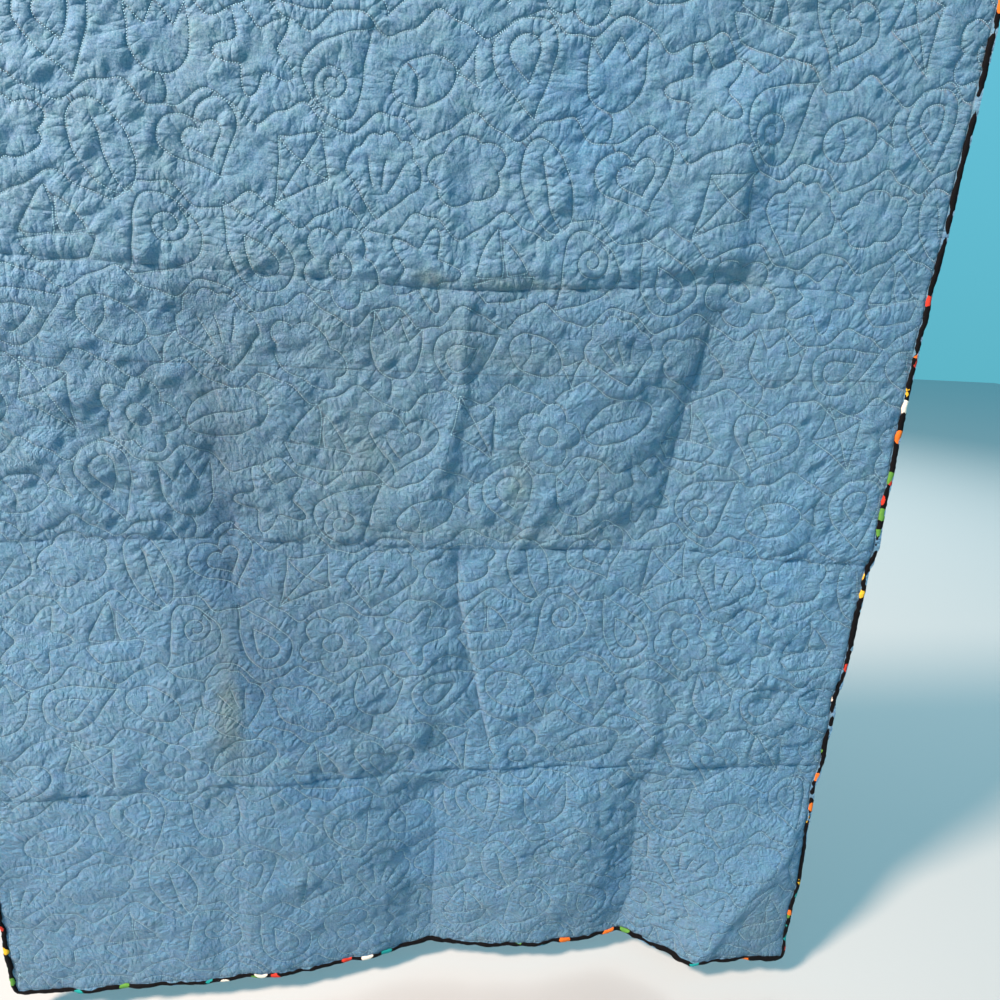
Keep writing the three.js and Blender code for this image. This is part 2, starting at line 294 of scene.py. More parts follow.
def cloth_out(s, t):
    """How far the cloth stands out towards the backing side (-Y), in metres, at (s, t) in metres."""
    s, t = np.broadcast_arrays(np.asarray(s, float) / MM, np.asarray(t, float) / MM)
    folds = sum(fold_out(fold, s, t) for fold in FOLDS_ACROSS + SMALL_FOLDS_ACROSS)
    folds += sum(fold_out(fold, t, s) for fold in FOLDS_DOWN + SMALL_FOLDS_DOWN)
    rolls = sum(lip_out(lip, s, t) for lip in LIPS) + sum(puff_out(puff, s, t) for puff in PUFFS)
    waves = swell_out(s, t) + hem_out(s, t)
    return ease(t / TOP_EDGE_EASE) * (swing_out(s, t) + folds + rolls + waves) * MM


def walked_grid():
    """X and Z of the hanging cloth on a regular grid of (s, t), keeping its length over every fold."""
    step = WALK_STEP
    across, down = (np.arange(0, size + step / 2, step) for size in (WIDTH, HEIGHT))
    out = cloth_out(*np.meshgrid(across, down, indexing="ij"))
    x = np.zeros_like(out)
    z = np.zeros_like(out)
    x[1:] = np.cumsum(np.sqrt(step**2 - np.diff(out, axis=0) ** 2), axis=0)
    z[:, 1:] = -np.cumsum(np.sqrt(step**2 - np.diff(out, axis=1) ** 2), axis=1)
    return x - x[len(x) // 2], z


def bilinear(grid, step, s, t):
    """Values of a regular grid of (s, t) with the given step, at any places."""
    last_column, last_row = grid.shape[0] - 2, grid.shape[1] - 2
    u = np.clip(np.asarray(s) / step, 0, last_column + INSIDE_CELL)
    v = np.clip(np.asarray(t) / step, 0, last_row + INSIDE_CELL)
    i, j = u.astype(int), v.astype(int)
    return between(grid.T, j, v - j, i, u - i)


WALKED_X, WALKED_Z = walked_grid()


def hang(s, t, lift):
    """Points at (s, t), `lift` metres out of the middle surface towards the backing side."""
    slope_s = (cloth_out(s + SLOPE_STEP, t) - cloth_out(s - SLOPE_STEP, t)) / (2 * SLOPE_STEP)
    slope_t = (cloth_out(s, t + SLOPE_STEP) - cloth_out(s, t - SLOPE_STEP)) / (2 * SLOPE_STEP)
    normal = np.stack([-slope_s, -np.ones_like(slope_s), slope_t], axis=-1)
    normal /= np.linalg.norm(normal, axis=-1, keepdims=True)
    x = bilinear(WALKED_X, WALK_STEP, s, t)
    z = bilinear(WALKED_Z, WALK_STEP, s, t)
    return np.stack([x, -cloth_out(s, t), z], axis=-1) + normal * np.asarray(lift)[..., None]


# ---- quilting lines: everyday motifs on a half-drop layout, with echo waves between the rows ----

LAYOUT_UNIT = 1.22 * MM        # the motifs and their layout are in these units
TILE = 360                     # the layout repeats after this many units both ways
LINE_STEP = 1.0 * MM           # points along a line are this far apart
QUILTED_INSET = 9.5 * MM       # the quilting stops at the binding
BINDING_SEAM = 8.2 * MM        # the binding's own seam holds the layers down all round


def line_points(x, y):
    return np.stack(np.broadcast_arrays(np.asarray(x, float), np.asarray(y, float)), axis=-1)


def ring(radius, points=96, start=0.0):
    turn = np.linspace(0, TAU, points) + start
    r = radius(turn) if callable(radius) else radius
    return line_points(r * np.cos(turn), r * np.sin(turn))


def polygon(corners, bow, points=22):
    """Closed outline through the corners, each side bowed by that share of its length."""
    sides = []
    corners = np.array(corners, float)
    fraction = np.linspace(0, 1, points)[:, None]
    for a, b in zip(corners, np.roll(corners, -1, axis=0)):
        side = b - a
        outward = np.array([side[1], -side[0]])
        sides.append(a + side * fraction + outward * bow * 4 * fraction * (1 - fraction))
    return np.concatenate(sides)


def heart():
    turn = np.linspace(0, TAU, 110)
    y = 13 * np.cos(turn) - 5 * np.cos(2 * turn) - 2 * np.cos(3 * turn) - np.cos(4 * turn) + 2
    outline = line_points(16 * np.sin(turn) ** 3, y) / 16.5
    return [outline, outline * 0.5]


def drop():
    turn = np.linspace(0, TAU, 90)
    outline = line_points(0.95 * np.sin(turn) * np.sin(turn / 2) ** 1.5, np.cos(turn))
    return [outline, outline * 0.48 - [0, 0.22]]


def leaf():
    turn = np.linspace(0, math.pi, 48)
    side = line_points(0.5 * np.sin(turn), np.cos(turn))
    vein = np.linspace(-1, 0.62, 30)
    return [np.concatenate([side, side[::-1] * [-1, 1]]), line_points(0.07 * np.sin(3 * vein), vein)]


def bloom():
    return [ring(lambda turn: 0.62 + 0.36 * np.abs(np.cos(2.5 * turn)) ** 0.75, 150), ring(0.3, 40)]


def star():
    return [ring(lambda turn: 0.72 + 0.26 * np.cos(5 * turn) + 0.03 * np.cos(10 * turn), 140)]


def kite():
    spar = np.linspace(-1, 1, 36)
    outline = polygon([(0, 1), (0.72, 0.25), (0, -1), (-0.72, 0.25)], 0.04)
    return [outline, line_points(0, spar), line_points(0.72 * spar, 0.15 + 0.10 * spar**2)]


def cloud():
    turn = np.linspace(0, TAU, 150)
    r = 0.66 + 0.22 * np.abs(np.sin(2.5 * turn + 0.4)) ** 0.7
    return [line_points(1.12 * r * np.cos(turn), 0.86 * r * np.sin(turn))]


def paisley():
    turn = np.linspace(0, TAU, 100)
    y = np.cos(turn)
    x = 0.98 * np.sin(turn) * np.sin(turn / 2) ** 1.2 + 0.42 * (y + 0.1) ** 2 - 0.2
    wind = np.linspace(0, 1.75 * TAU, 90)
    r = 0.08 + 0.035 * wind
    return [line_points(x, y), line_points(r * np.cos(wind) - 0.12, r * np.sin(wind) - 0.42)]


def shell():
    low, high = 0.12 * math.pi, 0.88 * math.pi
    turn = np.linspace(low, high, 80)
    r = 0.92 + 0.09 * np.abs(np.sin(5 * math.pi * (turn - low) / (high - low)))
    rim = line_points(1.05 * r * np.cos(turn), 1.5 * r * np.sin(turn) - 0.62)
    foot = np.array([0, -0.95])
    sides = [np.linspace(rim[-1], foot, 20), np.linspace(foot, rim[0], 20)]
    ribs = [np.linspace([0.4 * x, -0.35], [x, 0.3], 20) for x in (-0.46, 0, 0.46)]
    return [np.concatenate([rim, *sides]), *ribs]


def fish():
    turn = np.linspace(0, math.pi, 50)
    back = line_points(-0.72 * np.cos(turn) - 0.25, 0.5 * np.sin(turn))
    tail = polygon([(0.45, 0), (0.98, 0.46), (0.86, 0), (0.98, -0.46)], 0.05, 14)
    gill = np.linspace(-1, 1, 24)
    body = np.concatenate([back, back[::-1] * [1, -1]])
    return [body, tail, line_points(-0.38 - 0.12 * gill**2, 0.34 * gill)]


def tulip():
    turn = np.linspace(math.pi, TAU, 50)
    cup = line_points(0.62 * np.cos(turn), 0.72 * np.sin(turn) + 0.25)
    tips = [(0.62, 0.25), (0.62, 0.95), (0.3, 0.5), (0, 1.0), (-0.3, 0.5), (-0.62, 0.95), (-0.62, 0.25)]
    petals = [np.linspace(a, b, 12) for a, b in zip(tips, tips[1:])]
    stem = np.linspace(-0.47, -1, 14)
    return [np.concatenate([cup, *petals]), line_points(0.06 * np.sin(6 * stem), stem)]


def boat():
    hull = polygon([(-0.9, -0.3), (-0.55, -0.85), (0.6, -0.85), (0.9, -0.3)], 0.03)
    main_sail = polygon([(-0.02, -0.2), (-0.02, 1.0), (-0.78, -0.12)], 0.05)
    jib = polygon([(0.14, -0.2), (0.14, 0.7), (0.72, -0.16)], -0.05)
    return [hull, main_sail, jib]


# Motif, centre across and down in the tile, half height (layout units), and turn (degrees).
MOTIFS = [
    (heart, 34, 40, 33, 12), (kite, 106, 28, 36, -24), (bloom, 176, 42, 34, 0),
    (leaf, 248, 30, 38, 62), (boat, 322, 40, 32, 4),
    (fish, 70, 112, 36, -14), (drop, 142, 106, 37, 160), (tulip, 212, 114, 36, -8),
    (star, 284, 104, 34, 98), (paisley, 356, 108, 36, 20),
    (shell, 34, 182, 36, 10), (cloud, 106, 178, 35, -6), (leaf, 176, 188, 38, -28),
    (heart, 248, 176, 33, -30), (kite, 322, 184, 36, 32),
    (star, 70, 252, 34, 76), (boat, 142, 250, 32, -6), (paisley, 212, 256, 36, 200),
    (drop, 284, 248, 37, -36), (bloom, 356, 254, 34, 12),
    (tulip, 34, 324, 36, 16), (drop, 106, 318, 35, 70), (fish, 178, 328, 36, 24),
    (shell, 250, 320, 36, -12), (cloud, 320, 328, 34, 30),
]
# Echo waves: height in the tile, where their first crest is, and where the smaller ripple starts.
WAVES = [(74, 34, 0.1), (146, 70, 0.7), (218, 34, 0.35), (290, 70, 0.9), (359, 34, 0.55)]
WAVE_HEIGHT, WAVES_PER_TILE = 9, 5
RIPPLE_HEIGHT, RIPPLES_PER_TILE = 2, 13


def tile_strokes():
    strokes = []
    for motif, x, y, size, degrees in MOTIFS:
        a = math.radians(degrees)
        turned = np.array([[math.cos(a), math.sin(a)], [-math.sin(a), math.cos(a)]])
        strokes += [(stroke * [1, -1]) @ turned * size + [x, y] for stroke in motif()]
    across = np.linspace(0, TILE, 200)
    for height, crest, start in WAVES:
        wave = WAVE_HEIGHT * np.cos(TAU * WAVES_PER_TILE * (across - crest) / TILE)
        ripple = RIPPLE_HEIGHT * np.cos(TAU * (RIPPLES_PER_TILE * across / TILE + start))
        strokes.append(line_points(across, height + wave + ripple))
    return [stroke * LAYOUT_UNIT for stroke in strokes]


def resampled(stroke, step):
    """The stroke with points at equal steps along it."""
    reached = np.concatenate([[0], np.cumsum(np.linalg.norm(np.diff(stroke, axis=0), axis=1))])
    stops = np.linspace(0, reached[-1], max(2, int(round(reached[-1] / step)) + 1))
    return np.stack([np.interp(stops, reached, stroke[:, k]) for k in (0, 1)], axis=-1)


def inside_runs(stroke, inset):
    """The stretches of a stroke that lie on the quilt, `inset` in from its edge."""
    s, t = stroke.T
    inside = (s > inset) & (s < WIDTH - inset) & (t > inset) & (t < HEIGHT - inset)
    cuts = np.flatnonzero(np.diff(inside.astype(int))) + 1
    runs = np.split(np.arange(len(stroke)), cuts)
    return [stroke[run] for run in runs if inside[run[0]] and len(run) > 3]


def wave(turns):
    return np.sin(TAU * turns)


def guided_by_hand(stroke):
    """The stroke as a hand guides it: the layout drifts over the quilt, and the line wavers a little.
    Each wave's length is in metres."""
    s, t = stroke.T
    drift_s = 10 * MM * wave(t / 0.47 + 0.15) + 7 * MM * wave(s / 0.61 - t / 0.83)
    drift_t = 9 * MM * wave(s / 0.53 + 0.4) + 7 * MM * wave(t / 0.71 + s / 0.92)
    waver_s = 0.5 * MM * wave(t / 0.031 + s / 0.173)
    waver_t = 0.5 * MM * wave(s / 0.027 - t / 0.211)
    return np.stack([s + drift_s + waver_s, t + drift_t + waver_t], axis=-1)


def quilting_strokes():
    """Every quilting line on the quilt, as points LINE_STEP apart."""
    tile = TILE * LAYOUT_UNIT
    strokes = []
    for across in range(-1, math.ceil(WIDTH / tile) + 1):
        for down in range(-1, math.ceil(HEIGHT / tile) + 1):
            for stroke in tile_strokes():
                placed = guided_by_hand(stroke + [across * tile, down * tile])
                strokes += inside_runs(resampled(placed, LINE_STEP), QUILTED_INSET)
    return strokes


def seam_stroke():
    """The binding's seam, all round."""
    a, s, t = BINDING_SEAM, WIDTH - BINDING_SEAM, HEIGHT - BINDING_SEAM
    return resampled(np.array([(a, a), (s, a), (s, t), (a, t), (a, a)]), LINE_STEP)


class Lines:
    """Looks up the nearest line: how far it is, and which of its points is the nearest. Each point may
    have a weight of its own."""

    def __init__(self, strokes, weights=None):
        self.points = np.concatenate(strokes)
        self.weight = None if weights is None else np.concatenate(weights)
        sizes = np.array([len(stroke) for stroke in strokes])
        first = np.repeat(np.cumsum(sizes) - sizes, sizes)
        last = first + np.repeat(sizes, sizes) - 1
        index = np.arange(len(self.points))
        self.before = np.maximum(index - 1, first)
        self.after = np.minimum(index + 1, last)
        self.tangent = self.points[self.after] - self.points[self.before]
        self.tangent /= np.linalg.norm(self.tangent, axis=1, keepdims=True) + 1e-12
        self.tree = KDTree(len(self.points))
        for k, (s, t) in enumerate(self.points.tolist()):
            self.tree.insert((s, t, 0.0), k)
        self.tree.balance()

    def nearest(self, s, t):
        find = self.tree.find
        places = np.stack([s.ravel(), t.ravel()], axis=-1)
        index = np.array([find((a, b, 0.0))[1] for a, b in places.tolist()])
        gap = np.linalg.norm(places - self.points[index], axis=1)
        for end in (self.before, self.after):
            start = self.points[index]
            side = self.points[end[index]] - start
            length = np.maximum((side**2).sum(axis=1), 1e-12)
            share = np.clip(((places - start) * side).sum(axis=1) / length, 0, 1)
            gap = np.minimum(gap, np.linalg.norm(places - start - side * share[:, None], axis=1))
        return gap.reshape(s.shape), index.reshape(s.shape)


# ---- relief between the lines ----

RELIEF_STEP = 2.0 * MM         # spacing of the grids that the noise is made on
PUFF = 1.5 * MM                # how high the filling lifts the cloth between the lines
PUFF_RISE = 3.4 * MM           # how soon that height is reached beside a line
PUFF_RETURN = 1.6 * MM         # and how soon it is back beside a pucker or a crease

PUCKER_SPACING = (5.5 * MM, 12.0 * MM)
PUCKER_LENGTH = (6.0 * MM, 22.0 * MM)
PUCKER_STEPS = 14
PUCKER_LEAN = math.radians(24)
PUCKER_DEPTH = (0.45, 0.95)    # share of the puff's height that a pucker takes away at its foot
PUCKER_CLEAR = 0.6             # it ends where a line is nearer than this share of its length so far,
PUCKER_SLACK = 0.3 * MM        # less this much
PUCKER_LEAST = 3               # and is left out if it has no more steps than this
PUCKER_SEED = 3
PRESSED_DEPTH = 0.7            # share of the puff's height that a pressed crease takes away
PRESSED_TIP = 3                # folds with a rounder crest than this have no pressed crease

TURNS = [math.radians(x) for x in (0, 45, 90, 135)]
DUNE_WIDTH, DUNE_LENGTH = 3.6 * MM, 10 * MM     # blur of the noise across and along the dunes
DUNE_HEIGHT = 1.8 * MM
DUNE_LIMIT = 1.2               # dunes are rounded off towards this many times their height
DUNE_REACH = 22 * MM           # past this far from a line the dunes lie slanting across the quilt
DUNE_FAR_WAY = (-0.4, 0.6)     # the slant, as the cosine and sine of twice its angle
DUNE_SLANT = 0.45              # in the upper rows they lean that way everywhere
DUNE_FINE = 0.4                # share of the finer dunes, of half their size
DUNE_SEED = 11
FLATTENED = 0.62               # share of a dune that a crease that runs down takes off
FLATTENED_REACH = 24 * MM
FLATTENED_TIP = 5              # creases with a rounder crest than this leave the dunes as they are
DIRECTION_BLUR = 1.0           # cells of the sheet's lattice


def pressed_creases():
    """The crease lines of the storage folds, as strokes."""
    strokes = []
    for folds, order in ((FOLDS_ACROSS, 1), (FOLDS_DOWN, -1)):
        for path, out, reach, tip, fade in folds:
            if tip <= PRESSED_TIP:
                stroke = np.array(path, float)[:, ::order] * MM
                strokes += inside_runs(resampled(stroke, LINE_STEP), QUILTED_INSET)
    return strokes


def flattening(s, t):
    """1 on a crease that runs down, dying away beside it."""
    near = np.zeros_like(s)
    for path, out, reach, tip, fade in FOLDS_DOWN:
        if tip <= FLATTENED_TIP:
            off = np.hypot(*beside(path, t / MM, s / MM)) * MM
            near = np.maximum(near, np.exp(-((off / FLATTENED_REACH) ** 2)))
    return near


def puckers(strokes, lines):
    """Short creases that start at the quilting lines on both sides, about at right angles to them.
    Returns the strokes, and for each of their points the share of the puff that it takes away."""
    random = np.random.default_rng(PUCKER_SEED)
    feet, leans = [], []
    for stroke in strokes:
        length = LINE_STEP * (len(stroke) - 1)
        tangent = np.gradient(stroke, axis=0)
        for side in (-1, 1):
            stops = np.cumsum(random.uniform(*PUCKER_SPACING, int(length / PUCKER_SPACING[0])))
            index = (stops[stops < length] / LINE_STEP).astype(int)
            feet.append(stroke[index])
            leans.append(np.arctan2(tangent[index, 1], tangent[index, 0]) + side * TAU / 4)
    foot, lean = np.concatenate(feet), np.concatenate(leans)
    count = len(foot)
    lean = lean + random.uniform(-PUCKER_LEAN, PUCKER_LEAN, count)
    bend = random.uniform(-PUCKER_LEAN, PUCKER_LEAN, count)
    shortest, longest = PUCKER_LENGTH      # most are nearer to the shortest
    length = random.uniform(0, 1, count) ** 1.5 * (longest - shortest) + shortest
    depth = random.uniform(*PUCKER_DEPTH, count)
    share = np.linspace(0, 1, PUCKER_STEPS)
    heading = lean[:, None] + bend[:, None] * share
    direction = np.stack([np.cos(heading), np.sin(heading)], axis=-1)
    step = length[:, None, None] / (PUCKER_STEPS - 1) * direction
    path = foot[:, None] + np.cumsum(step, axis=1) - step[:, :1]
    gap = lines.nearest(path[..., 0], path[..., 1])[0]
    clear = gap > PUCKER_CLEAR * (length[:, None] * share) - PUCKER_SLACK
    kept, weights = [], []
    for k, end in enumerate(np.cumprod(clear, axis=1).sum(axis=1)):
        if end > PUCKER_LEAST:
            kept.append(path[k, :end])
            weights.append(depth[k] * (1 - share[:end] * (PUCKER_STEPS - 1) / end) ** 0.8)
    return kept, weights


def blurred(grid, sigma):
    """Gaussian blur over `sigma` cells each way, with mirrored edges."""
    for axis, width in enumerate(np.broadcast_to(sigma, 2)):
        reach = int(3 * width) + 1
        kernel = np.exp(-0.5 * (np.arange(-reach, reach + 1) / width) ** 2)
        kernel /= kernel.sum()
        pad = [(reach, reach) if k == axis else (0, 0) for k in (0, 1)]
        wide = np.pad(grid, pad, mode="reflect")
        size = grid.shape[axis]
        grid = sum(w * np.take(wide, range(k, k + size), axis=axis) for k, w in enumerate(kernel))
    return grid


def even_noise(random, shape, sigma):
    noise = blurred(random.normal(size=shape), sigma)
    return noise / noise.std()


def dunes(s, t, gap, along_s, along_diagonal):
    """Soft ridges and troughs at right angles to the nearest line, height in metres."""
    random = np.random.default_rng(DUNE_SEED)
    cells = int((WIDTH + HEIGHT) / RELIEF_STEP)
    near = np.exp(-((gap / DUNE_REACH) ** 2))
    far_s, far_diagonal = DUNE_FAR_WAY
    along_s = along_s * near + far_s * (1 - near)
    along_diagonal = along_diagonal * near + far_diagonal * (1 - near) + DUNE_SLANT * (1 - t / HEIGHT)
    blur = np.array([DUNE_WIDTH, DUNE_LENGTH]) / RELIEF_STEP
    height = np.zeros_like(gap)
    for turn in TURNS:
        noise = even_noise(random, (cells, cells), blur)
        noise += DUNE_FINE * even_noise(random, (cells, cells), blur / 2)
        agrees = np.maximum(along_s * math.cos(2 * turn) + along_diagonal * math.sin(2 * turn), 0)
        across = s * math.cos(turn) + t * math.sin(turn) + WIDTH
        along = t * math.cos(turn) - s * math.sin(turn) + WIDTH
        height += agrees * bilinear(noise, RELIEF_STEP, across, along)
    return DUNE_HEIGHT * DUNE_LIMIT * np.tanh(height / DUNE_LIMIT)


def line_direction(lines, index):
    """Direction of the nearest line, as the cosine and sine of twice its angle, a little blurred."""
    tangent = lines.tangent[index]
    double = 2 * np.arctan2(tangent[..., 1], tangent[..., 0])
    return blurred(np.cos(double), DIRECTION_BLUR), blurred(np.sin(double), DIRECTION_BLUR)


# ---- meshes ----

SNAP_LIMIT = 0.42              # a lattice point moves at most this share of a cell
GROOVE_STRAY = 0.6 * MM        # a mesh edge on a line strays this little from it


def mesh_piece(name, points, triangles, material, smooth=True):
    """A mesh object from arrays of points and triangles."""
    mesh = bpy.data.meshes.new(name)
    mesh.vertices.add(len(points))
    mesh.vertices.foreach_set("co", np.asarray(points, "f4").ravel())
    mesh.loops.add(3 * len(triangles))
    mesh.loops.foreach_set("vertex_index", np.asarray(triangles, "i4").ravel())
    mesh.polygons.add(len(triangles))
    mesh.polygons.foreach_set("loop_start", np.arange(0, 3 * len(triangles), 3, dtype="i4"))
    mesh.polygons.foreach_set("use_smooth", np.full(len(triangles), smooth))
    mesh.update(calc_edges=True)
    mesh.validate()
    mesh.materials.append(material)
    piece = bpy.data.objects.new(name, mesh)
    bpy.context.scene.collection.objects.link(piece)
    return piece


def add_number(piece, name, values):
    piece.data.attributes.new(name, "FLOAT", "POINT").data.foreach_set("value", values.astype("f4").ravel())


def add_cloth_place(piece, s, t, offset=0.0):
    """The place (s, t) on the cloth, which the weave and the prints are laid out on. The offset gives a
    piece another part of the print."""
    place = np.stack([s.ravel(), t.ravel(), np.zeros(s.size) + offset], axis=-1)
    piece.data.attributes.new("cloth", "FLOAT_VECTOR", "POINT").data.foreach_set(
        "vector", place.astype("f4").ravel()
    )


def crossings(start, end, axis):
    """Where short segments cross the lines of a unit lattice that `axis` counts, as two arrays:
    the number of the lattice line, and the place along it."""
    cell_start, cell_end = np.floor(start[:, axis]), np.floor(end[:, axis])
    crossing = cell_start != cell_end
    a, b = start[crossing], end[crossing]
    line = np.maximum(cell_start, cell_end)[crossing]
    share = (line - a[:, axis]) / (b[:, axis] - a[:, axis])
    return line, a[:, 1 - axis] + share * (b[:, 1 - axis] - a[:, 1 - axis])


def snapped_lattice(columns, rows, strokes, creases):
    """A lattice over the cloth whose points beside a quilting line or a crease are moved onto it.
    Where both pass, the quilting line has the point."""
    size = np.array([WIDTH - 2 * SHEET_INSET, HEIGHT - 2 * SHEET_INSET]) / [columns, rows]
    u, v = np.meshgrid(np.arange(columns + 1.0), np.arange(rows + 1.0), indexing="ij")
    places, moves, ranks = [], [], []
    for rank, group in enumerate((creases, strokes)):
        start = (np.concatenate([stroke[:-1] for stroke in group]) - SHEET_INSET) / size
        end = (np.concatenate([stroke[1:] for stroke in group]) - SHEET_INSET) / size
        for axis in (0, 1):
            line, along = crossings(start, end, axis)
            nearest = np.round(along)
            place, move = [line, nearest], [np.zeros_like(line), along - nearest]
            places.append(np.stack(place if axis == 0 else place[::-1], axis=-1).astype(int))
            moves.append(np.stack(move if axis == 0 else move[::-1], axis=-1))
            ranks.append(np.full(len(line), rank))
    place, move, rank = (np.concatenate(x) for x in (places, moves, ranks))
    inner = ((place > 0) & (place < [columns, rows])).all(axis=1)
    place, move, rank = place[inner], move[inner], rank[inner]
    order = np.lexsort((-np.abs(move).sum(axis=1), rank))      # of equal rank, the nearer line wins
    i, j = place[order].T
    du, dv = np.clip(move[order], -SNAP_LIMIT, SNAP_LIMIT).T
    u[i, j] = i + du
    v[i, j] = j + dv
    on_line = np.zeros(u.shape, bool)
    on_line[i, j] = True
    return SHEET_INSET + u * size[0], SHEET_INSET + v * size[1], on_line


def middle_gap(p, q, s, t, on_line, lines):
    """How far the middle of an edge from point p to point q is from a line, where both are on one."""
    gap = np.full(p.shape, np.inf)
    both = on_line.flat[p] & on_line.flat[q]
    p, q = p[both], q[both]
    gap[both] = lines.nearest((s.flat[p] + s.flat[q]) / 2, (t.flat[p] + t.flat[q]) / 2)[0]
    return gap


def lattice_triangles(s, t, on_line, lines):
    """Triangles of a lattice. A cell that a quilting line crosses is split along that line."""
    index = np.arange(s.size).reshape(s.shape)
    a, b, c, d = index[:-1, :-1], index[1:, :-1], index[1:, 1:], index[:-1, 1:]
    falling = middle_gap(a, c, s, t, on_line, lines)
    rising = middle_gap(b, d, s, t, on_line, lines)
    chequer = np.indices(a.shape).sum(axis=0) % 2 == 0
    use_falling = np.where(falling == rising, chequer, falling < rising)[..., None]
    first = np.where(use_falling, np.stack([a, c, b], -1), np.stack([a, d, b], -1))
    second = np.where(use_falling, np.stack([a, d, c], -1), np.stack([b, d, c], -1))
    return np.concatenate([first.reshape(-1, 3), second.reshape(-1, 3)])


def sharpen_lines(piece, s, t, on_line, lines):
    """Marks the mesh edges that run along a quilting line as sharp, so the groove there is crisp."""
    edges = np.zeros(2 * len(piece.data.edges), "i4")
    piece.data.edges.foreach_get("vertices", edges)
    a, b = edges.reshape(-1, 2).T
    sharp = middle_gap(a, b, s, t, on_line, lines) < GROOVE_STRAY
    piece.data.attributes.new("sharp_edge", "BOOLEAN", "EDGE").data.foreach_set("value", sharp)


# ---- stains, painted shade and light, tone by height and the strength of the relief, by the place on the cloth in millimetres ----

# Stains and worn places on the backing, together with painted shade and painted light over some folds and
# patches, and painted tints of light bounced into the shade of the creases: across, down, how far they
# reach across and down, how warm they are (less than 0 is bluer), and how dark.
STAINS_AND_PAINTED_SHADE = [
    (302, 661, 26, 34, -2.4, 0.02), (335, 793, 40, 36, -1.8, 0.12), (366, 858, 44, 36, -2.0, 0.12),
    (395, 962, 34, 20, -1.4, 0.06), (446, 978, 26, 16, -1.0, 0.04), (540, 1071, 26, 46, -1.6, 0.10),
    (330, 720, 90, 120, -0.2, 0.12), (294, 835, 16, 80, 1.4, 0.02),
    (300, 560, 26, 90, 0.1, 0.16), (332, 314, 120, 16, 0.3, 0.00), (630, 402, 190, 13, 0.4, 0.00),
    (600, 612, 170, 14, 0.7, 0.02), (634, 545, 16, 48, 0.9, 0.00), (302, 400, 16, 110, 0.2, 0.03),
    (455, 520, 40, 70, 0.6, 0.02), (870, 300, 20, 14, 0.5, 0.05), (720, 560, 60, 60, 0.2, 0.06),
    (522, 319, 16, 6, 1.0, 0.20), (630, 322, 76, 7, 0.7, 0.10),
    (680, 155, 50, 60, -0.7, 0.00), (846, 118, 40, 40, -0.4, 0.00), (872, 240, 26, 40, -0.5, 0.03),
    (700, 850, 130, 60, -0.1, 0.03), (819, 1150, 30, 60, -0.7, 0.02),
    (990, 640, 90, 400, 0.0, -0.11), (350, 560, 170, 270, 0.2, 0.12), (600, 366, 340, 46, 0.1, 0.13),
    (400, 820, 120, 130, 0.0, 0.11), (290, 600, 42, 360, 0.0, 0.10), (1000, 800, 120, 220, 0.0, -0.10),
    (690, 930, 120, 80, 0.0, -0.06), (1050, 1200, 40, 60, 0.4, 0.16), (610, 1120, 60, 90, 0.0, -0.06),
    (849, 151, 34, 34, 0.0, -0.10), (866, 226, 30, 30, 0.0, 0.09), (565, 200, 26, 36, 0.0, 0.08),
    (660, 150, 50, 34, 0.0, 0.07), (921, 914, 50, 50, 0.0, -0.12), (770, 1030, 40, 60, 0.0, -0.08),
    (290, 600, 40, 90, -0.6, 0.00), (848, 386, 26, 30, 0.0, 0.07), (786, 383, 24, 26, 0.0, -0.07),
]
# By the height: how much paler the cloth is, and how much bluer.
TONE_BY_HEIGHT = [
    (305, -0.05, 0.00), (345, 0.01, 0.26), (400, 0.02, 0.12), (500, 0.05, 0.12), (570, 0.10, 0.14),
    (620, 0.06, 0.28), (680, 0.03, 0.26), (760, 0.07, 0.32), (810, 0.09, 0.22), (880, 0.11, 0.16),
    (930, 0.11, 0.28), (1010, 0.10, 0.34), (1260, 0.07, 0.26),
]
# How strong the relief is: stronger in the upper rows, and least at the left of the last one.
RELIEF_STATIONS = [0, 420, 640, 860, 1040]
RELIEF_HEIGHTS = [0, 330, 640, 920, 1010, 1260]
RELIEF_STRENGTH = [
    [1.24, 1.20, 1.15, 1.22, 1.27],
    [1.08, 1.22, 1.18, 1.06, 1.06],
    [1.08, 1.24, 1.24, 1.34, 1.40],
    [1.00, 1.14, 1.28, 1.46, 1.46],
    [0.76, 0.90, 1.02, 1.34, 1.28],
    [0.66, 0.72, 0.80, 1.02, 0.60],
]
# How strong the fine crinkles are, by the height: hardly any above the first crease.
CRINKLE_STRENGTH = [(0, 0.1), (300, 0.15), (350, 0.7), (640, 0.9), (900, 1.0), (1260, 0.95)]
# The seam that joins the backing's two lengths, as (across, down).
BACKING_SEAM = [(0, 421), (600, 419), (1100, 404)]


def stains_and_painted_shade(s, t):
    """How warm and how dark the stains, the painted shade and light, and the tone by height make the cloth
    at (s, t).
    """
    height, paler, bluer = np.array(TONE_BY_HEIGHT).T
    warmth, dark = -np.interp(t / MM, height, bluer), -np.interp(t / MM, height, paler)
    for across, down, reach_s, reach_t, warm, shade in STAINS_AND_PAINTED_SHADE:
        there = np.exp(-(((s / MM - across) / reach_s) ** 2) - ((t / MM - down) / reach_t) ** 2)
        warmth += warm * there
        dark += shade * there
    return warmth, dark


def relief_strength(s, t):
    row, down = stretch_of(RELIEF_HEIGHTS, t / MM)
    column, across = stretch_of(RELIEF_STATIONS, s / MM)
    return between(RELIEF_STRENGTH, row, np.clip(down, 0, 1), column, np.clip(across, 0, 1))


# ---- the two sheets and their stitches ----


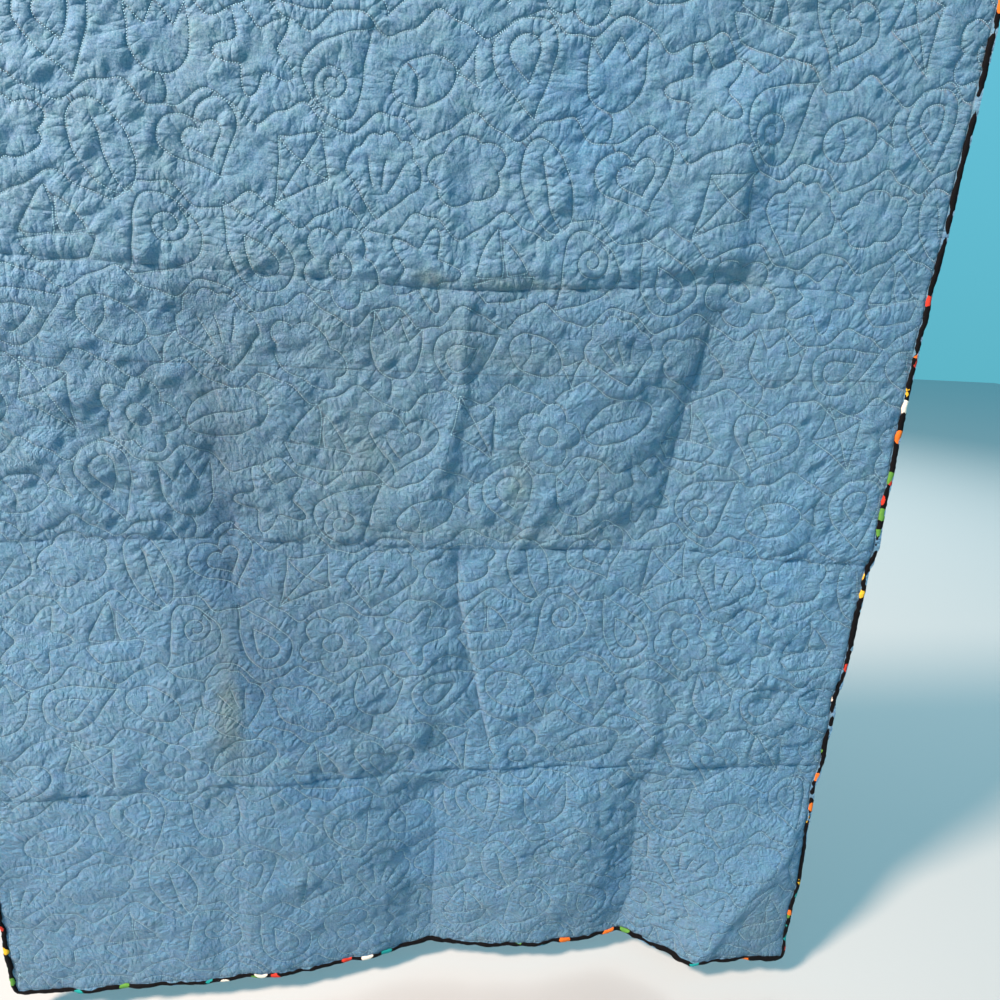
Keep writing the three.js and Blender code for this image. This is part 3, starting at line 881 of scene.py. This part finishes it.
def quilted_sheet(name, lattice, side, base_lift, quilting, material):
    """A sheet of the quilt. `side` is 1 for the backing and -1 for the pieced top."""
    strokes, lines, crease_strokes, creases, guides = quilting
    s, t, on_line = snapped_lattice(*lattice, strokes, crease_strokes)
    gap, index = lines.nearest(s, t)
    along_s, along_diagonal = line_direction(lines, index)
    crease_gap, crease_index = creases.nearest(s, t)
    crease = creases.weight[crease_index]
    puff = PUFF * (1 - np.exp(-gap / PUFF_RISE)) * (1 - crease * np.exp(-crease_gap / PUFF_RETURN))
    dune = dunes(s, t, gap, along_s, along_diagonal) * (1 - np.exp(-gap / (2 * PUFF_RISE)))
    dune *= 1 - FLATTENED * flattening(s, t)
    strength = relief_strength(s, t)
    points = hang(s, t, base_lift + strength * (side * puff + dune))
    triangles = lattice_triangles(s, t, on_line, guides)[:, ::side]
    piece = mesh_piece(name, points.reshape(-1, 3), triangles, material)
    sharpen_lines(piece, s, t, on_line, guides)
    add_cloth_place(piece, s, t)
    # Warmth and darkness of the stains, with the painted shade, painted light and painted tints among them.
    warmth, dark = stains_and_painted_shade(s, t)
    numbers = {
        "line_gap": gap,
        "line_across": along_s,
        "line_diagonal": along_diagonal,
        "crease_gap": crease_gap,
        "crease_depth": crease,
        "relief": strength,
        "seam_side": t - np.interp(s / MM, *np.array(BACKING_SEAM).T) * MM,
        "crinkle": np.interp(t / MM, *np.array(CRINKLE_STRENGTH).T),
        "stain_and_painted_tint_warmth": warmth,
        "stain_and_painted_shade_dark": dark,
    }
    for attribute, values in numbers.items():
        add_number(piece, attribute, values)
    return piece


def stitch_piece(name, side, base_lift, strokes, material):
    """Every quilting stitch of one side: a short thread that rises between its two needle holes."""
    holes = [resampled(stroke, STITCH_PITCH) for stroke in strokes]
    start = np.concatenate([stops[:-1] for stops in holes])
    end = np.concatenate([stops[1:] for stops in holes])
    span = end - start
    trim = (1 - STITCH_LENGTH / STITCH_PITCH) / 2
    across = span[:, ::-1] * [-1, 1]
    across *= THREAD_WIDTH / 2 / (np.linalg.norm(across, axis=1, keepdims=True) + 1e-12)
    middle = (start + end) / 2
    places = np.stack([start + span * trim, middle - across, end - span * trim, middle + across], axis=1)
    lift = base_lift + side * np.array([HOLE_DEPTH, THREAD_RISE, HOLE_DEPTH, THREAD_RISE])
    s, t = places[..., 0], places[..., 1]
    points = hang(s, t, np.broadcast_to(lift, s.shape)).reshape(-1, 3)
    faces = np.array([(0, 3, 1), (2, 1, 3), (0, 1, 2), (0, 2, 3)])[:, ::side]
    triangles = (4 * np.arange(len(start))[:, None, None] + faces).reshape(-1, 3)
    piece = mesh_piece(name, points, triangles, material)
    add_cloth_place(piece, s, t)
    return piece


# ---- binding ----

# Section of the binding from its seam on the backing side, round the quilt's edge, to its seam on the
# pieced side: distance in from the edge, and height out of the middle surface (millimetres).
BINDING_OUTSIDE = [
    (7.8, 1.1), (7.2, 2.2), (5.8, 3.0), (3.8, 3.3), (1.9, 2.8), (0.6, 1.7), (0.0, 0.4),
    (0.1, -0.8), (0.9, -2.0), (2.5, -2.9), (4.8, -3.1), (7.0, -2.7), (8.6, -2.0), (9.2, -1.1),
]
BINDING_INSIDE = [
    (8.3, -1.3), (6.6, -1.9), (4.6, -2.2), (2.7, -1.9), (1.4, -1.0), (1.1, 0.3), (1.8, 1.5),
    (3.6, 2.3), (5.4, 2.1), (6.8, 1.3),
]
BINDING_STEP = 2.5 * MM
SWAY_PITCH, SWAY_WIDER, SWAY_OUT = 34 * MM, 0.15, 0.25 * MM       # slow changes along the binding
PUCKER_PITCH, PUCKER_WIDER, PUCKER_THICKER = 7 * MM, 0.15, 0.12
RAGGED_PITCH, RAGGED = 4 * MM, 0.5 * MM
BINDING_WIDTH = 0.92           # the sewn-down width, as a share of the section's
BINDING_SHIFT = 0.3 * MM       # the whole section lies this far in from the edge
PRINT_OFFSET = 0.37            # each length shows another place of the print


def drifting(random, along, spacing):
    """A smooth random number from about -1 to 1 along a length, new every `spacing`."""
    knots = int(along.max() / spacing) + 3
    values = random.uniform(-1, 1, knots)
    place = along / spacing
    k = place.astype(int)
    return values[k] + (values[k + 1] - values[k]) * ease(place - k)


def binding_piece(name, length, place, turned, seed, material):
    """One length of binding. `place` turns (along, inward) into (s, t)."""
    section = np.array(BINDING_OUTSIDE + BINDING_INSIDE) * MM
    rings = int(round(length / BINDING_STEP)) + 1
    along = np.linspace(0, length, rings)[:, None]
    random = np.random.default_rng(seed)
    sway = drifting(random, along, SWAY_PITCH)
    pucker = drifting(random, along, PUCKER_PITCH)
    ragged = RAGGED * drifting(random, along, RAGGED_PITCH)
    width = BINDING_WIDTH + SWAY_WIDER * sway + PUCKER_WIDER * pucker
    inward = section[:, 0] * width + ragged + BINDING_SHIFT
    lift = section[:, 1] * (1 + PUCKER_THICKER * pucker) + SWAY_OUT * sway
    mitred = np.clip(along, inward, length - inward)
    s, t = place(mitred, inward)
    points = hang(s, t, lift)
    size = len(section)
    index = np.arange(rings * size).reshape(rings, size)
    ahead = np.roll(index, -1, axis=1)
    a, b, c, d = index[:-1], ahead[:-1], ahead[1:], index[1:]
    triangles = np.concatenate([np.stack(corners, -1).reshape(-1, 3) for corners in ((a, b, c), (a, c, d))])
    if turned:
        triangles = triangles[:, ::-1]
    piece = mesh_piece(name, points.reshape(-1, 3), triangles, material)
    girth = np.cumsum(np.linalg.norm(np.diff(section, axis=0, prepend=section[:1]), axis=1))
    along, girth = (np.broadcast_to(x, s.shape) for x in (along, girth))
    add_cloth_place(piece, along, girth, PRINT_OFFSET * seed)
    return piece


# ---- materials ----


class Value:
    """A node's output. Its sum, difference, product or quotient with another one, or with a number,
    is one more node."""

    def __init__(self, nodes, socket):
        self.nodes = nodes
        self.socket = socket

    def __add__(self, other):
        return self.nodes.math("ADD", self, other)

    def __radd__(self, other):
        return self.nodes.math("ADD", other, self)

    def __sub__(self, other):
        return self.nodes.math("SUBTRACT", self, other)

    def __mul__(self, other):
        return self.nodes.math("MULTIPLY", self, other)

    def __truediv__(self, other):
        return self.nodes.math("DIVIDE", self, other)


class Nodes:
    """Adds shader nodes to a node tree. An input takes a number, a colour or a Value."""

    def __init__(self, tree):
        self.tree = tree

    def node(self, kind, inputs, **settings):
        node = self.tree.nodes.new("ShaderNode" + kind)
        for name, value in settings.items():
            setattr(node, name, value)
        for name, value in inputs.items():
            self.put(value, node.inputs[name])
        return node

    def put(self, value, socket):
        if isinstance(value, Value):
            self.tree.links.new(value.socket, socket)
        else:
            socket.default_value = value

    def out(self, kind, inputs, output=0, **settings):
        return Value(self, self.node(kind, inputs, **settings).outputs[output])

    def attribute(self, name, output="Fac"):
        return self.out("Attribute", {}, output, attribute_name=name)

    def math(self, operation, *values):
        return self.out("Math", dict(enumerate(values)), operation=operation)

    def vector(self, operation, a, b):
        return self.out("VectorMath", {0: a, 1: b}, operation=operation)

    def fading(self, distance, reach):
        """1 at distance 0, dying away over `reach`."""
        return self.math("EXPONENT", distance / -reach)

    def noise(self, vector, scale, detail=2.0, roughness=0.5):
        """Noise about 0, from about -0.5 to 0.5."""
        inputs = {"Vector": vector, "Scale": scale, "Detail": detail, "Roughness": roughness}
        return self.out("TexNoise", inputs, "Fac") - 0.5

    def mix(self, share, a, b):
        node = self.node("Mix", {}, data_type="RGBA")
        sockets = {socket.name: socket for socket in node.inputs if socket.enabled}
        for name, value in (("Factor", share), ("A", a), ("B", b)):
            self.put(value, sockets[name])
        return Value(self, next(socket for socket in node.outputs if socket.enabled))

    def tinted(self, by):
        """White with that much more green and less red and blue."""
        less = self.math("SUBTRACT", 1.0, by)
        return self.out("CombineXYZ", {0: less, 1: by + 1.0, 2: less})

    def brightened(self, colour, by):
        """The colour times 1 + by."""
        return self.out("VectorMath", {0: colour, "Scale": by + 1.0}, operation="SCALE")

    def palette(self, share, colours):
        """One of the colours, by a number from 0 to 1."""
        node = self.node("ValToRGB", {"Fac": share})
        node.color_ramp.interpolation = "CONSTANT"
        stops = node.color_ramp.elements
        for k, colour in enumerate(colours):
            stop = stops[k] if k < 2 else stops.new(k / len(colours))
            stop.position = k / len(colours)
            stop.color = colour
        return Value(self, node.outputs["Color"])


class Material(Nodes):
    def __init__(self, name, roughness, sheen=0.0, specular=0.5):
        self.material = bpy.data.materials.new(name)
        self.material.use_nodes = True
        super().__init__(self.material.node_tree)
        self.tree.nodes.clear()
        look = {"Roughness": roughness, "Sheen Weight": sheen, "Specular IOR Level": specular}
        self.shader = self.node("BsdfPrincipled", look)
        self.node("OutputMaterial", {"Surface": Value(self, self.shader.outputs["BSDF"])})

    def finish(self, colour, height):
        """Puts the colour on the shader and the height, in metres, into its bump."""
        normal = self.out("Bump", {"Strength": 1.0, "Distance": 1.0, "Height": height})
        self.put(colour, self.shader.inputs["Base Color"])
        self.put(normal, self.shader.inputs["Normal"])
        return self.material


class Cotton(Material):
    """A material laid out by the place (s, t) on the cloth."""

    def __init__(self, name, roughness, sheen=0.0, specular=0.5):
        super().__init__(name, roughness, sheen, specular)
        self.cloth = self.attribute("cloth", "Vector")

    def speckle(self, scale, detail=2.0, roughness=0.5):
        return self.noise(self.cloth, scale, detail, roughness)

    def place(self, axis):
        """The place across ("X") or down ("Y") the cloth."""
        return self.out("SeparateXYZ", {0: self.cloth}, axis)

    def weave(self, pitch):
        """Plain weave: threads that pass over and under each other, height in metres."""
        across, down = (self.math("SINE", self.place(axis) * (TAU / pitch)) for axis in "XY")
        return across * down * WEAVE_HEIGHT

    def uneven_yarn(self, amount):
        """Slubs: thicker and thinner yarn both ways, as a small change of brightness."""
        across, down = (self.vector("MULTIPLY", self.cloth, by) for by in YARN_STRETCH)
        return (self.noise(across, 1.0, 1.0) + self.noise(down, 1.0, 1.0)) * amount

    def groove(self, gap, depth, reach):
        return self.fading(gap, reach) * -depth

    def crease(self):
        """1 on a fully pressed crease, dying away beside it."""
        return self.fading(self.attribute("crease_gap"), CREASE_REACH) * self.attribute("crease_depth")

    def humps(self, vector, scale, detail=1.0):
        """Rounded humps with sharp creases between them, from 0 in a crease to about 1."""
        return self.math("POWER", self.math("ABSOLUTE", self.noise(vector, scale, detail) * 2.6), 0.8)

    def wrinkles(self, width, length, depth):
        """Wrinkles at right angles to the nearest quilting line, height in metres: the same creased
        noise stretched four ways, each as strong as the line's direction agrees with it."""
        across, diagonal = self.attribute("line_across"), self.attribute("line_diagonal")
        parts = []
        for turn in TURNS:
            agrees = across * math.cos(2 * turn) + diagonal * math.sin(2 * turn)
            inputs = {"Vector": self.cloth, "Angle": -turn}
            turned = self.out("VectorRotate", inputs, rotation_type="Z_AXIS")
            stretched = self.vector("MULTIPLY", turned, (1 / width, 1 / length, 1))
            parts.append(self.math("MAXIMUM", agrees, 0.0) * self.humps(stretched, 1.0, 0.0))
        return reduce(add, parts) * depth

    def crumple(self, depth):
        """Creased cotton all over, height in metres: more of it further down."""
        wander = self.out("TexNoise", {"Vector": self.cloth, "Scale": 30.0}, "Color")
        place = self.vector("ADD", self.cloth, self.vector("MULTIPLY", wander, (0.02, 0.02, 0)))
        return (self.place("Y") * (0.8 / HEIGHT) + 0.2) * self.humps(place, 90.0, 2.0) * depth

    def black_print(self, share):
        """Black ground with scattered bright round flowers."""
        cells = self.node("TexVoronoi", {"Vector": self.cloth, "Scale": 42.0, "Randomness": 0.9})
        colour, distance = (Value(self, cells.outputs[name]) for name in ("Color", "Distance"))
        bright = self.palette(self.out("SeparateColor", {0: colour}), PRINT_BRIGHTS)
        inside = self.math("LESS_THAN", distance + self.speckle(160) * 0.35, share)
        return self.mix(inside, BLACK, bright)


def linear(red, green, blue):
    """A colour given as it looks on a screen, from 0 to 255, in the numbers that shaders take."""
    steps = [x / 255 for x in (red, green, blue)]
    return tuple(x / 12.92 if x <= 0.04045 else ((x + 0.055) / 1.055) ** 2.4 for x in steps) + (1.0,)


BACKING_WARMER = linear(99, 134, 150)
BACKING_BLUER = linear(78, 130, 167)
THREAD_DARKER = linear(148, 210, 240)
THREAD_PALER = linear(194, 240, 254)
DOTS = linear(232, 224, 206)
BLACK = linear(9, 9, 12)
PRINT_BRIGHTS = [
    linear(196, 58, 44), linear(228, 222, 208), linear(28, 140, 140),
    linear(226, 178, 52), linear(222, 112, 42), linear(88, 142, 62),
]
PATCH_BRIGHTS = [
    linear(176, 52, 48), linear(216, 138, 52), linear(222, 186, 82), linear(92, 138, 84),
    linear(56, 132, 140), linear(72, 104, 158), linear(146, 84, 132), linear(208, 106, 116),
]
WEAVE_HEIGHT = 0.02 * MM
YARN_STRETCH = ((70, 900, 1), (900, 70, 1))
CREASE_REACH = 1.0 * MM        # creases and seams die away over this, to the eye and in the relief
SEAM_REACH = 0.7 * MM
WRINKLE_REACH = 12 * MM        # wrinkles die away over this beside a quilting line

# Grooves under a line or a seam: depth and reach. Wrinkles and crinkles: width, length and depth.
BACKING_GROOVE = (1.7 * MM, 1.3 * MM)
BACKING_FINE_GROOVE = (0.8 * MM, 1.0 * MM)
TOP_GROOVE = (1.3 * MM, 1.4 * MM)
PATCH_SEAM = (0.9 * MM, 0.9 * MM)
BACKING_WRINKLES = (8 * MM, 24 * MM, 2.6 * MM)
BACKING_CRINKLES = (7 * MM, 12 * MM, 3.2 * MM)
TOP_WRINKLES = (6 * MM, 18 * MM, 1.6 * MM)


def backing_colour(m, gap, crease, seam):
    """Blues that wander, with the stains, painted shade and light, the tone by height, and painted shade in
    the grooves, creases and seam.
    """
    # The stains' warmth also holds painted tints of light bounced into the shade of the creases.
    warmth = 0.46 + m.speckle(4) * 0.42 + m.speckle(28) * 0.75 + m.attribute("stain_and_painted_tint_warmth") * 0.65
    colour = m.mix(warmth, BACKING_BLUER, BACKING_WARMER)
    faded = (m.speckle(55) + m.speckle(140, 1.0)) * 0.11
    colour = m.vector("MULTIPLY", colour, m.tinted(faded))
    # Painted shade: darker in the grooves of the quilting lines (more where the cloth crinkles), in the
    # pressed creases and along the seam, where the cloth folds in.
    pressed = m.attribute("crinkle") * -0.08 + -0.26
    groove = m.fading(gap, 0.9 * MM) * pressed + crease * -0.1 + seam * -0.3
    mottle = m.speckle(45, 4.0, 0.6) * 0.2
    # Darker by the stains and by painted shade on some folds and patches; lighter by painted light on
    # others.
    stain_and_shade = m.attribute("stain_and_painted_shade_dark") * -1.0
    colour = m.brightened(colour, groove + mottle + stain_and_shade + m.uneven_yarn(0.3))
    grain = (m.speckle(900, 1.0) + m.speckle(550, 1.0)) * 0.14
    return m.vector("ADD", colour, grain)


def backing_cotton():
    m = Cotton("backing_cotton", 0.86, 0.12)
    gap = m.attribute("line_gap")
    crease = m.crease()
    seam = m.fading(m.math("ABSOLUTE", m.attribute("seam_side")), SEAM_REACH)
    near = m.fading(gap, WRINKLE_REACH) * (m.speckle(22, 1.0) * 1.4 + 1.0)
    relief = (
        m.groove(gap, *BACKING_GROOVE)
        + crease * (-0.9 * MM)
        + seam * (-0.7 * MM)
        + m.wrinkles(*BACKING_WRINKLES) * near
        + m.crumple(2.0 * MM)
        + m.speckle(300) * (0.5 * MM)
    )
    fine = m.wrinkles(*BACKING_CRINKLES) + m.humps(m.cloth, 420.0) * (1.8 * MM)
    fine += m.groove(gap, *BACKING_FINE_GROOVE)
    height = relief * m.attribute("relief") + fine * m.attribute("crinkle") + m.weave(0.5 * MM)
    return m.finish(backing_colour(m, gap, crease, seam), height)


def binding_print():
    m = Cotton("binding_print", 0.9, 0.0, 0.15)
    colour = m.brightened(m.black_print(0.33), m.uneven_yarn(0.3))
    return m.finish(colour, m.speckle(220, 3.0) * (0.5 * MM) + m.weave(0.45 * MM))


def patchwork_colour(m, counted):
    """Patches of black print and of dotted brights by turns. `counted` is the place in patches."""
    across, down = (m.math("FLOOR", x) for x in counted)
    which = m.out("CombineXYZ", {0: across, 1: down})
    chance = m.out("TexWhiteNoise", {"Vector": which}, "Value", noise_dimensions="2D")
    ground = m.palette(chance, PATCH_BRIGHTS)
    dots = m.out("TexVoronoi", {"Vector": m.cloth, "Scale": 95.0, "Randomness": 0.15}, "Distance")
    bright = m.mix(m.math("LESS_THAN", dots, 0.26) * 0.7, ground, DOTS)
    return m.mix(m.math("PINGPONG", across + down, 1.0), m.black_print(0.36), bright)


def patchwork_cotton():
    m = Cotton("patchwork_cotton", 0.86, 0.1)
    gap = m.attribute("line_gap")
    patch = ((WIDTH - 2 * SHEET_INSET) / PATCHES_ACROSS, (HEIGHT - 2 * SHEET_INSET) / PATCHES_DOWN)
    counted = [(m.place(axis) - SHEET_INSET) / size for axis, size in zip("XY", patch)]
    seam = m.math("MINIMUM", *(m.math("PINGPONG", x, 0.5) * size for x, size in zip(counted, patch)))
    shade = m.fading(gap, 0.7 * MM) * -0.3 + m.fading(seam, 0.6 * MM) * -0.5 + m.uneven_yarn(0.2)
    height = (
        m.groove(gap, *TOP_GROOVE)
        + m.groove(seam, *PATCH_SEAM)
        + m.crease() * (-0.5 * MM)
        + m.wrinkles(*TOP_WRINKLES) * m.fading(gap, WRINKLE_REACH)
        + m.weave(0.45 * MM)
    )
    return m.finish(m.brightened(patchwork_colour(m, counted), shade), height)


def quilting_thread():
    m = Cotton("quilting_thread", 0.7, 0.0, 0.15)
    colour = m.mix(m.speckle(400, 1.0) + 0.5, THREAD_DARKER, THREAD_PALER)
    return m.finish(colour, m.speckle(3000, 1.0) * (0.05 * MM))


# ---- floor, light and camera ----


FLOOR_DROP = 35 * MM           # the floor lies this far below the hem
FLOOR_SIZE = 14.0
FLOOR_TONES = ((0.40, 0.42, 0.42, 1.0), (0.388, 0.4074, 0.4074, 1.0))


def pale_floor():
    m = Material("pale_floor", 0.8)
    place = m.out("TexCoord", {}, "Object")
    tone = m.mix(m.noise(place, 1.3, 3.0) + 0.5, *FLOOR_TONES)
    return m.finish(tone, m.noise(place, 40) * (0.2 * MM))


def floor():
    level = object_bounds()[0].z - FLOOR_DROP
    half = FLOOR_SIZE / 2
    corners = [(-half, -half, level), (half, -half, level), (half, half, level), (-half, half, level)]
    piece = mesh_piece("floor", np.array(corners), [(0, 1, 2), (0, 2, 3)], pale_floor(), smooth=False)
    piece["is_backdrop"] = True


LIGHT_TARGET = (0, 0, -0.6)


def soft_light(name, place, size, power, colour):
    data = bpy.data.lights.new(name, "AREA")
    data.shape = "DISK"
    data.size = size
    data.energy = power
    data.color = colour
    light = bpy.data.objects.new(name, data)
    light.location = place
    light.rotation_mode = "QUATERNION"
    light.rotation_quaternion = (Vector(LIGHT_TARGET) - Vector(place)).to_track_quat("-Z", "Y")
    bpy.context.scene.collection.objects.link(light)


def surrounding_light(upper, lower, strength):
    """Even light from all round, a little different from above and from below."""
    world = bpy.data.worlds.new("studio")
    world.use_nodes = True
    bpy.context.scene.world = world
    sky = Nodes(world.node_tree)
    rise = sky.out("SeparateXYZ", {0: sky.out("TexCoord", {}, "Generated")}, "Z")
    share = sky.out("MapRange", {"Value": rise, "From Min": -0.6, "From Max": 0.6})
    ramp = sky.node("ValToRGB", {"Fac": share})
    ramp.color_ramp.elements[0].color = (*lower, 1.0)
    ramp.color_ramp.elements[1].color = (*upper, 1.0)
    background = world.node_tree.nodes["Background"]
    sky.put(strength, background.inputs["Strength"])
    sky.put(Value(sky, ramp.outputs["Color"]), background.inputs["Color"])


CAMERA_PLACE = (-58.5 * MM, -792.4 * MM, -299.9 * MM)
CAMERA_YAW, CAMERA_PITCH, CAMERA_ROLL = (math.radians(x) for x in (8.609, -18.141, 3.79))
CAMERA_LENS = 26.0


def camera():
    yaw, pitch, roll = CAMERA_YAW, CAMERA_PITCH, CAMERA_ROLL
    forward = Vector((math.sin(yaw) * math.cos(pitch), math.cos(yaw) * math.cos(pitch), math.sin(pitch)))
    level = Vector((math.cos(yaw), -math.sin(yaw), 0))
    upright = level.cross(forward)
    right = level * math.cos(roll) + upright * math.sin(roll)
    up = upright * math.cos(roll) - level * math.sin(roll)
    data = bpy.data.cameras.new("camera")
    data.lens = CAMERA_LENS
    data.sensor_width = 36
    data.clip_start = 0.02
    piece = bpy.data.objects.new("camera", data)
    piece.matrix_world = Matrix((right, up, -forward)).transposed().to_4x4()
    piece.location = CAMERA_PLACE
    bpy.context.scene.collection.objects.link(piece)
    bpy.context.scene.camera = piece


# ---- the quilt ----


def bindings(material):
    strips = {
        "binding_top": (WIDTH, lambda along, inward: (along, inward + 0 * along), False),
        "binding_bottom": (WIDTH, lambda along, inward: (along, HEIGHT - inward + 0 * along), True),
        "binding_left": (HEIGHT, lambda along, inward: (inward + 0 * along, along), True),
        "binding_right": (HEIGHT, lambda along, inward: (WIDTH - inward + 0 * along, along), False),
    }
    return {
        name: binding_piece(f"{name}_strip", length, place, turned, seed, material)
        for seed, (name, (length, place, turned)) in enumerate(strips.items(), 1)
    }


def quilt():
    strokes = quilting_strokes()
    held = strokes + [seam_stroke()]
    lines = Lines(held)
    thread = quilting_thread()
    crease_strokes, weights = puckers(strokes, lines)
    for stroke in pressed_creases():
        crease_strokes.append(stroke)
        weights.append(np.full(len(stroke), PRESSED_DEPTH))
    quilting = (held, lines, crease_strokes, Lines(crease_strokes, weights), Lines(held + crease_strokes))
    backing = quilted_sheet(
        "backing_cloth", (BACKING_COLUMNS, BACKING_ROWS), 1, BACKING_LIFT, quilting, backing_cotton()
    )
    stitches = stitch_piece("backing_stitches", 1, BACKING_LIFT, strokes, thread)
    top_lattice = (PATCHES_ACROSS * TOP_CELLS_PER_PATCH, PATCHES_DOWN * TOP_CELLS_PER_PATCH)
    top = quilted_sheet("patchwork_cloth", top_lattice, -1, TOP_LIFT, quilting, patchwork_cotton())
    top_stitches = stitch_piece("patchwork_stitches", -1, TOP_LIFT, strokes, thread)
    strips = bindings(binding_print())

    for piece, node, slot in (
        (backing, "backing", "backing_cotton"),
        (top, "patchwork_top", "patchwork_cotton"),
        *((strip, node, "binding_print") for node, strip in strips.items()),
    ):
        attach(piece, "root")
        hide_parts(node)
    for piece in (stitches, top_stitches):
        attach(piece, "root")


camera()
quilt()
floor()
soft_light("key", place=(-2.9, -1.42, 2.3), size=0.7, power=442, colour=(1.27, 0.90, 0.72))
soft_light("fill behind", place=(2.2, 3.0, 1.6), size=2.4, power=110, colour=(1.0, 0.97, 0.94))
surrounding_light(upper=(0.27, 1.12, 1.50), lower=(0.17, 0.70, 0.79), strength=0.53)
bpy.context.scene.view_settings.view_transform = "Standard"
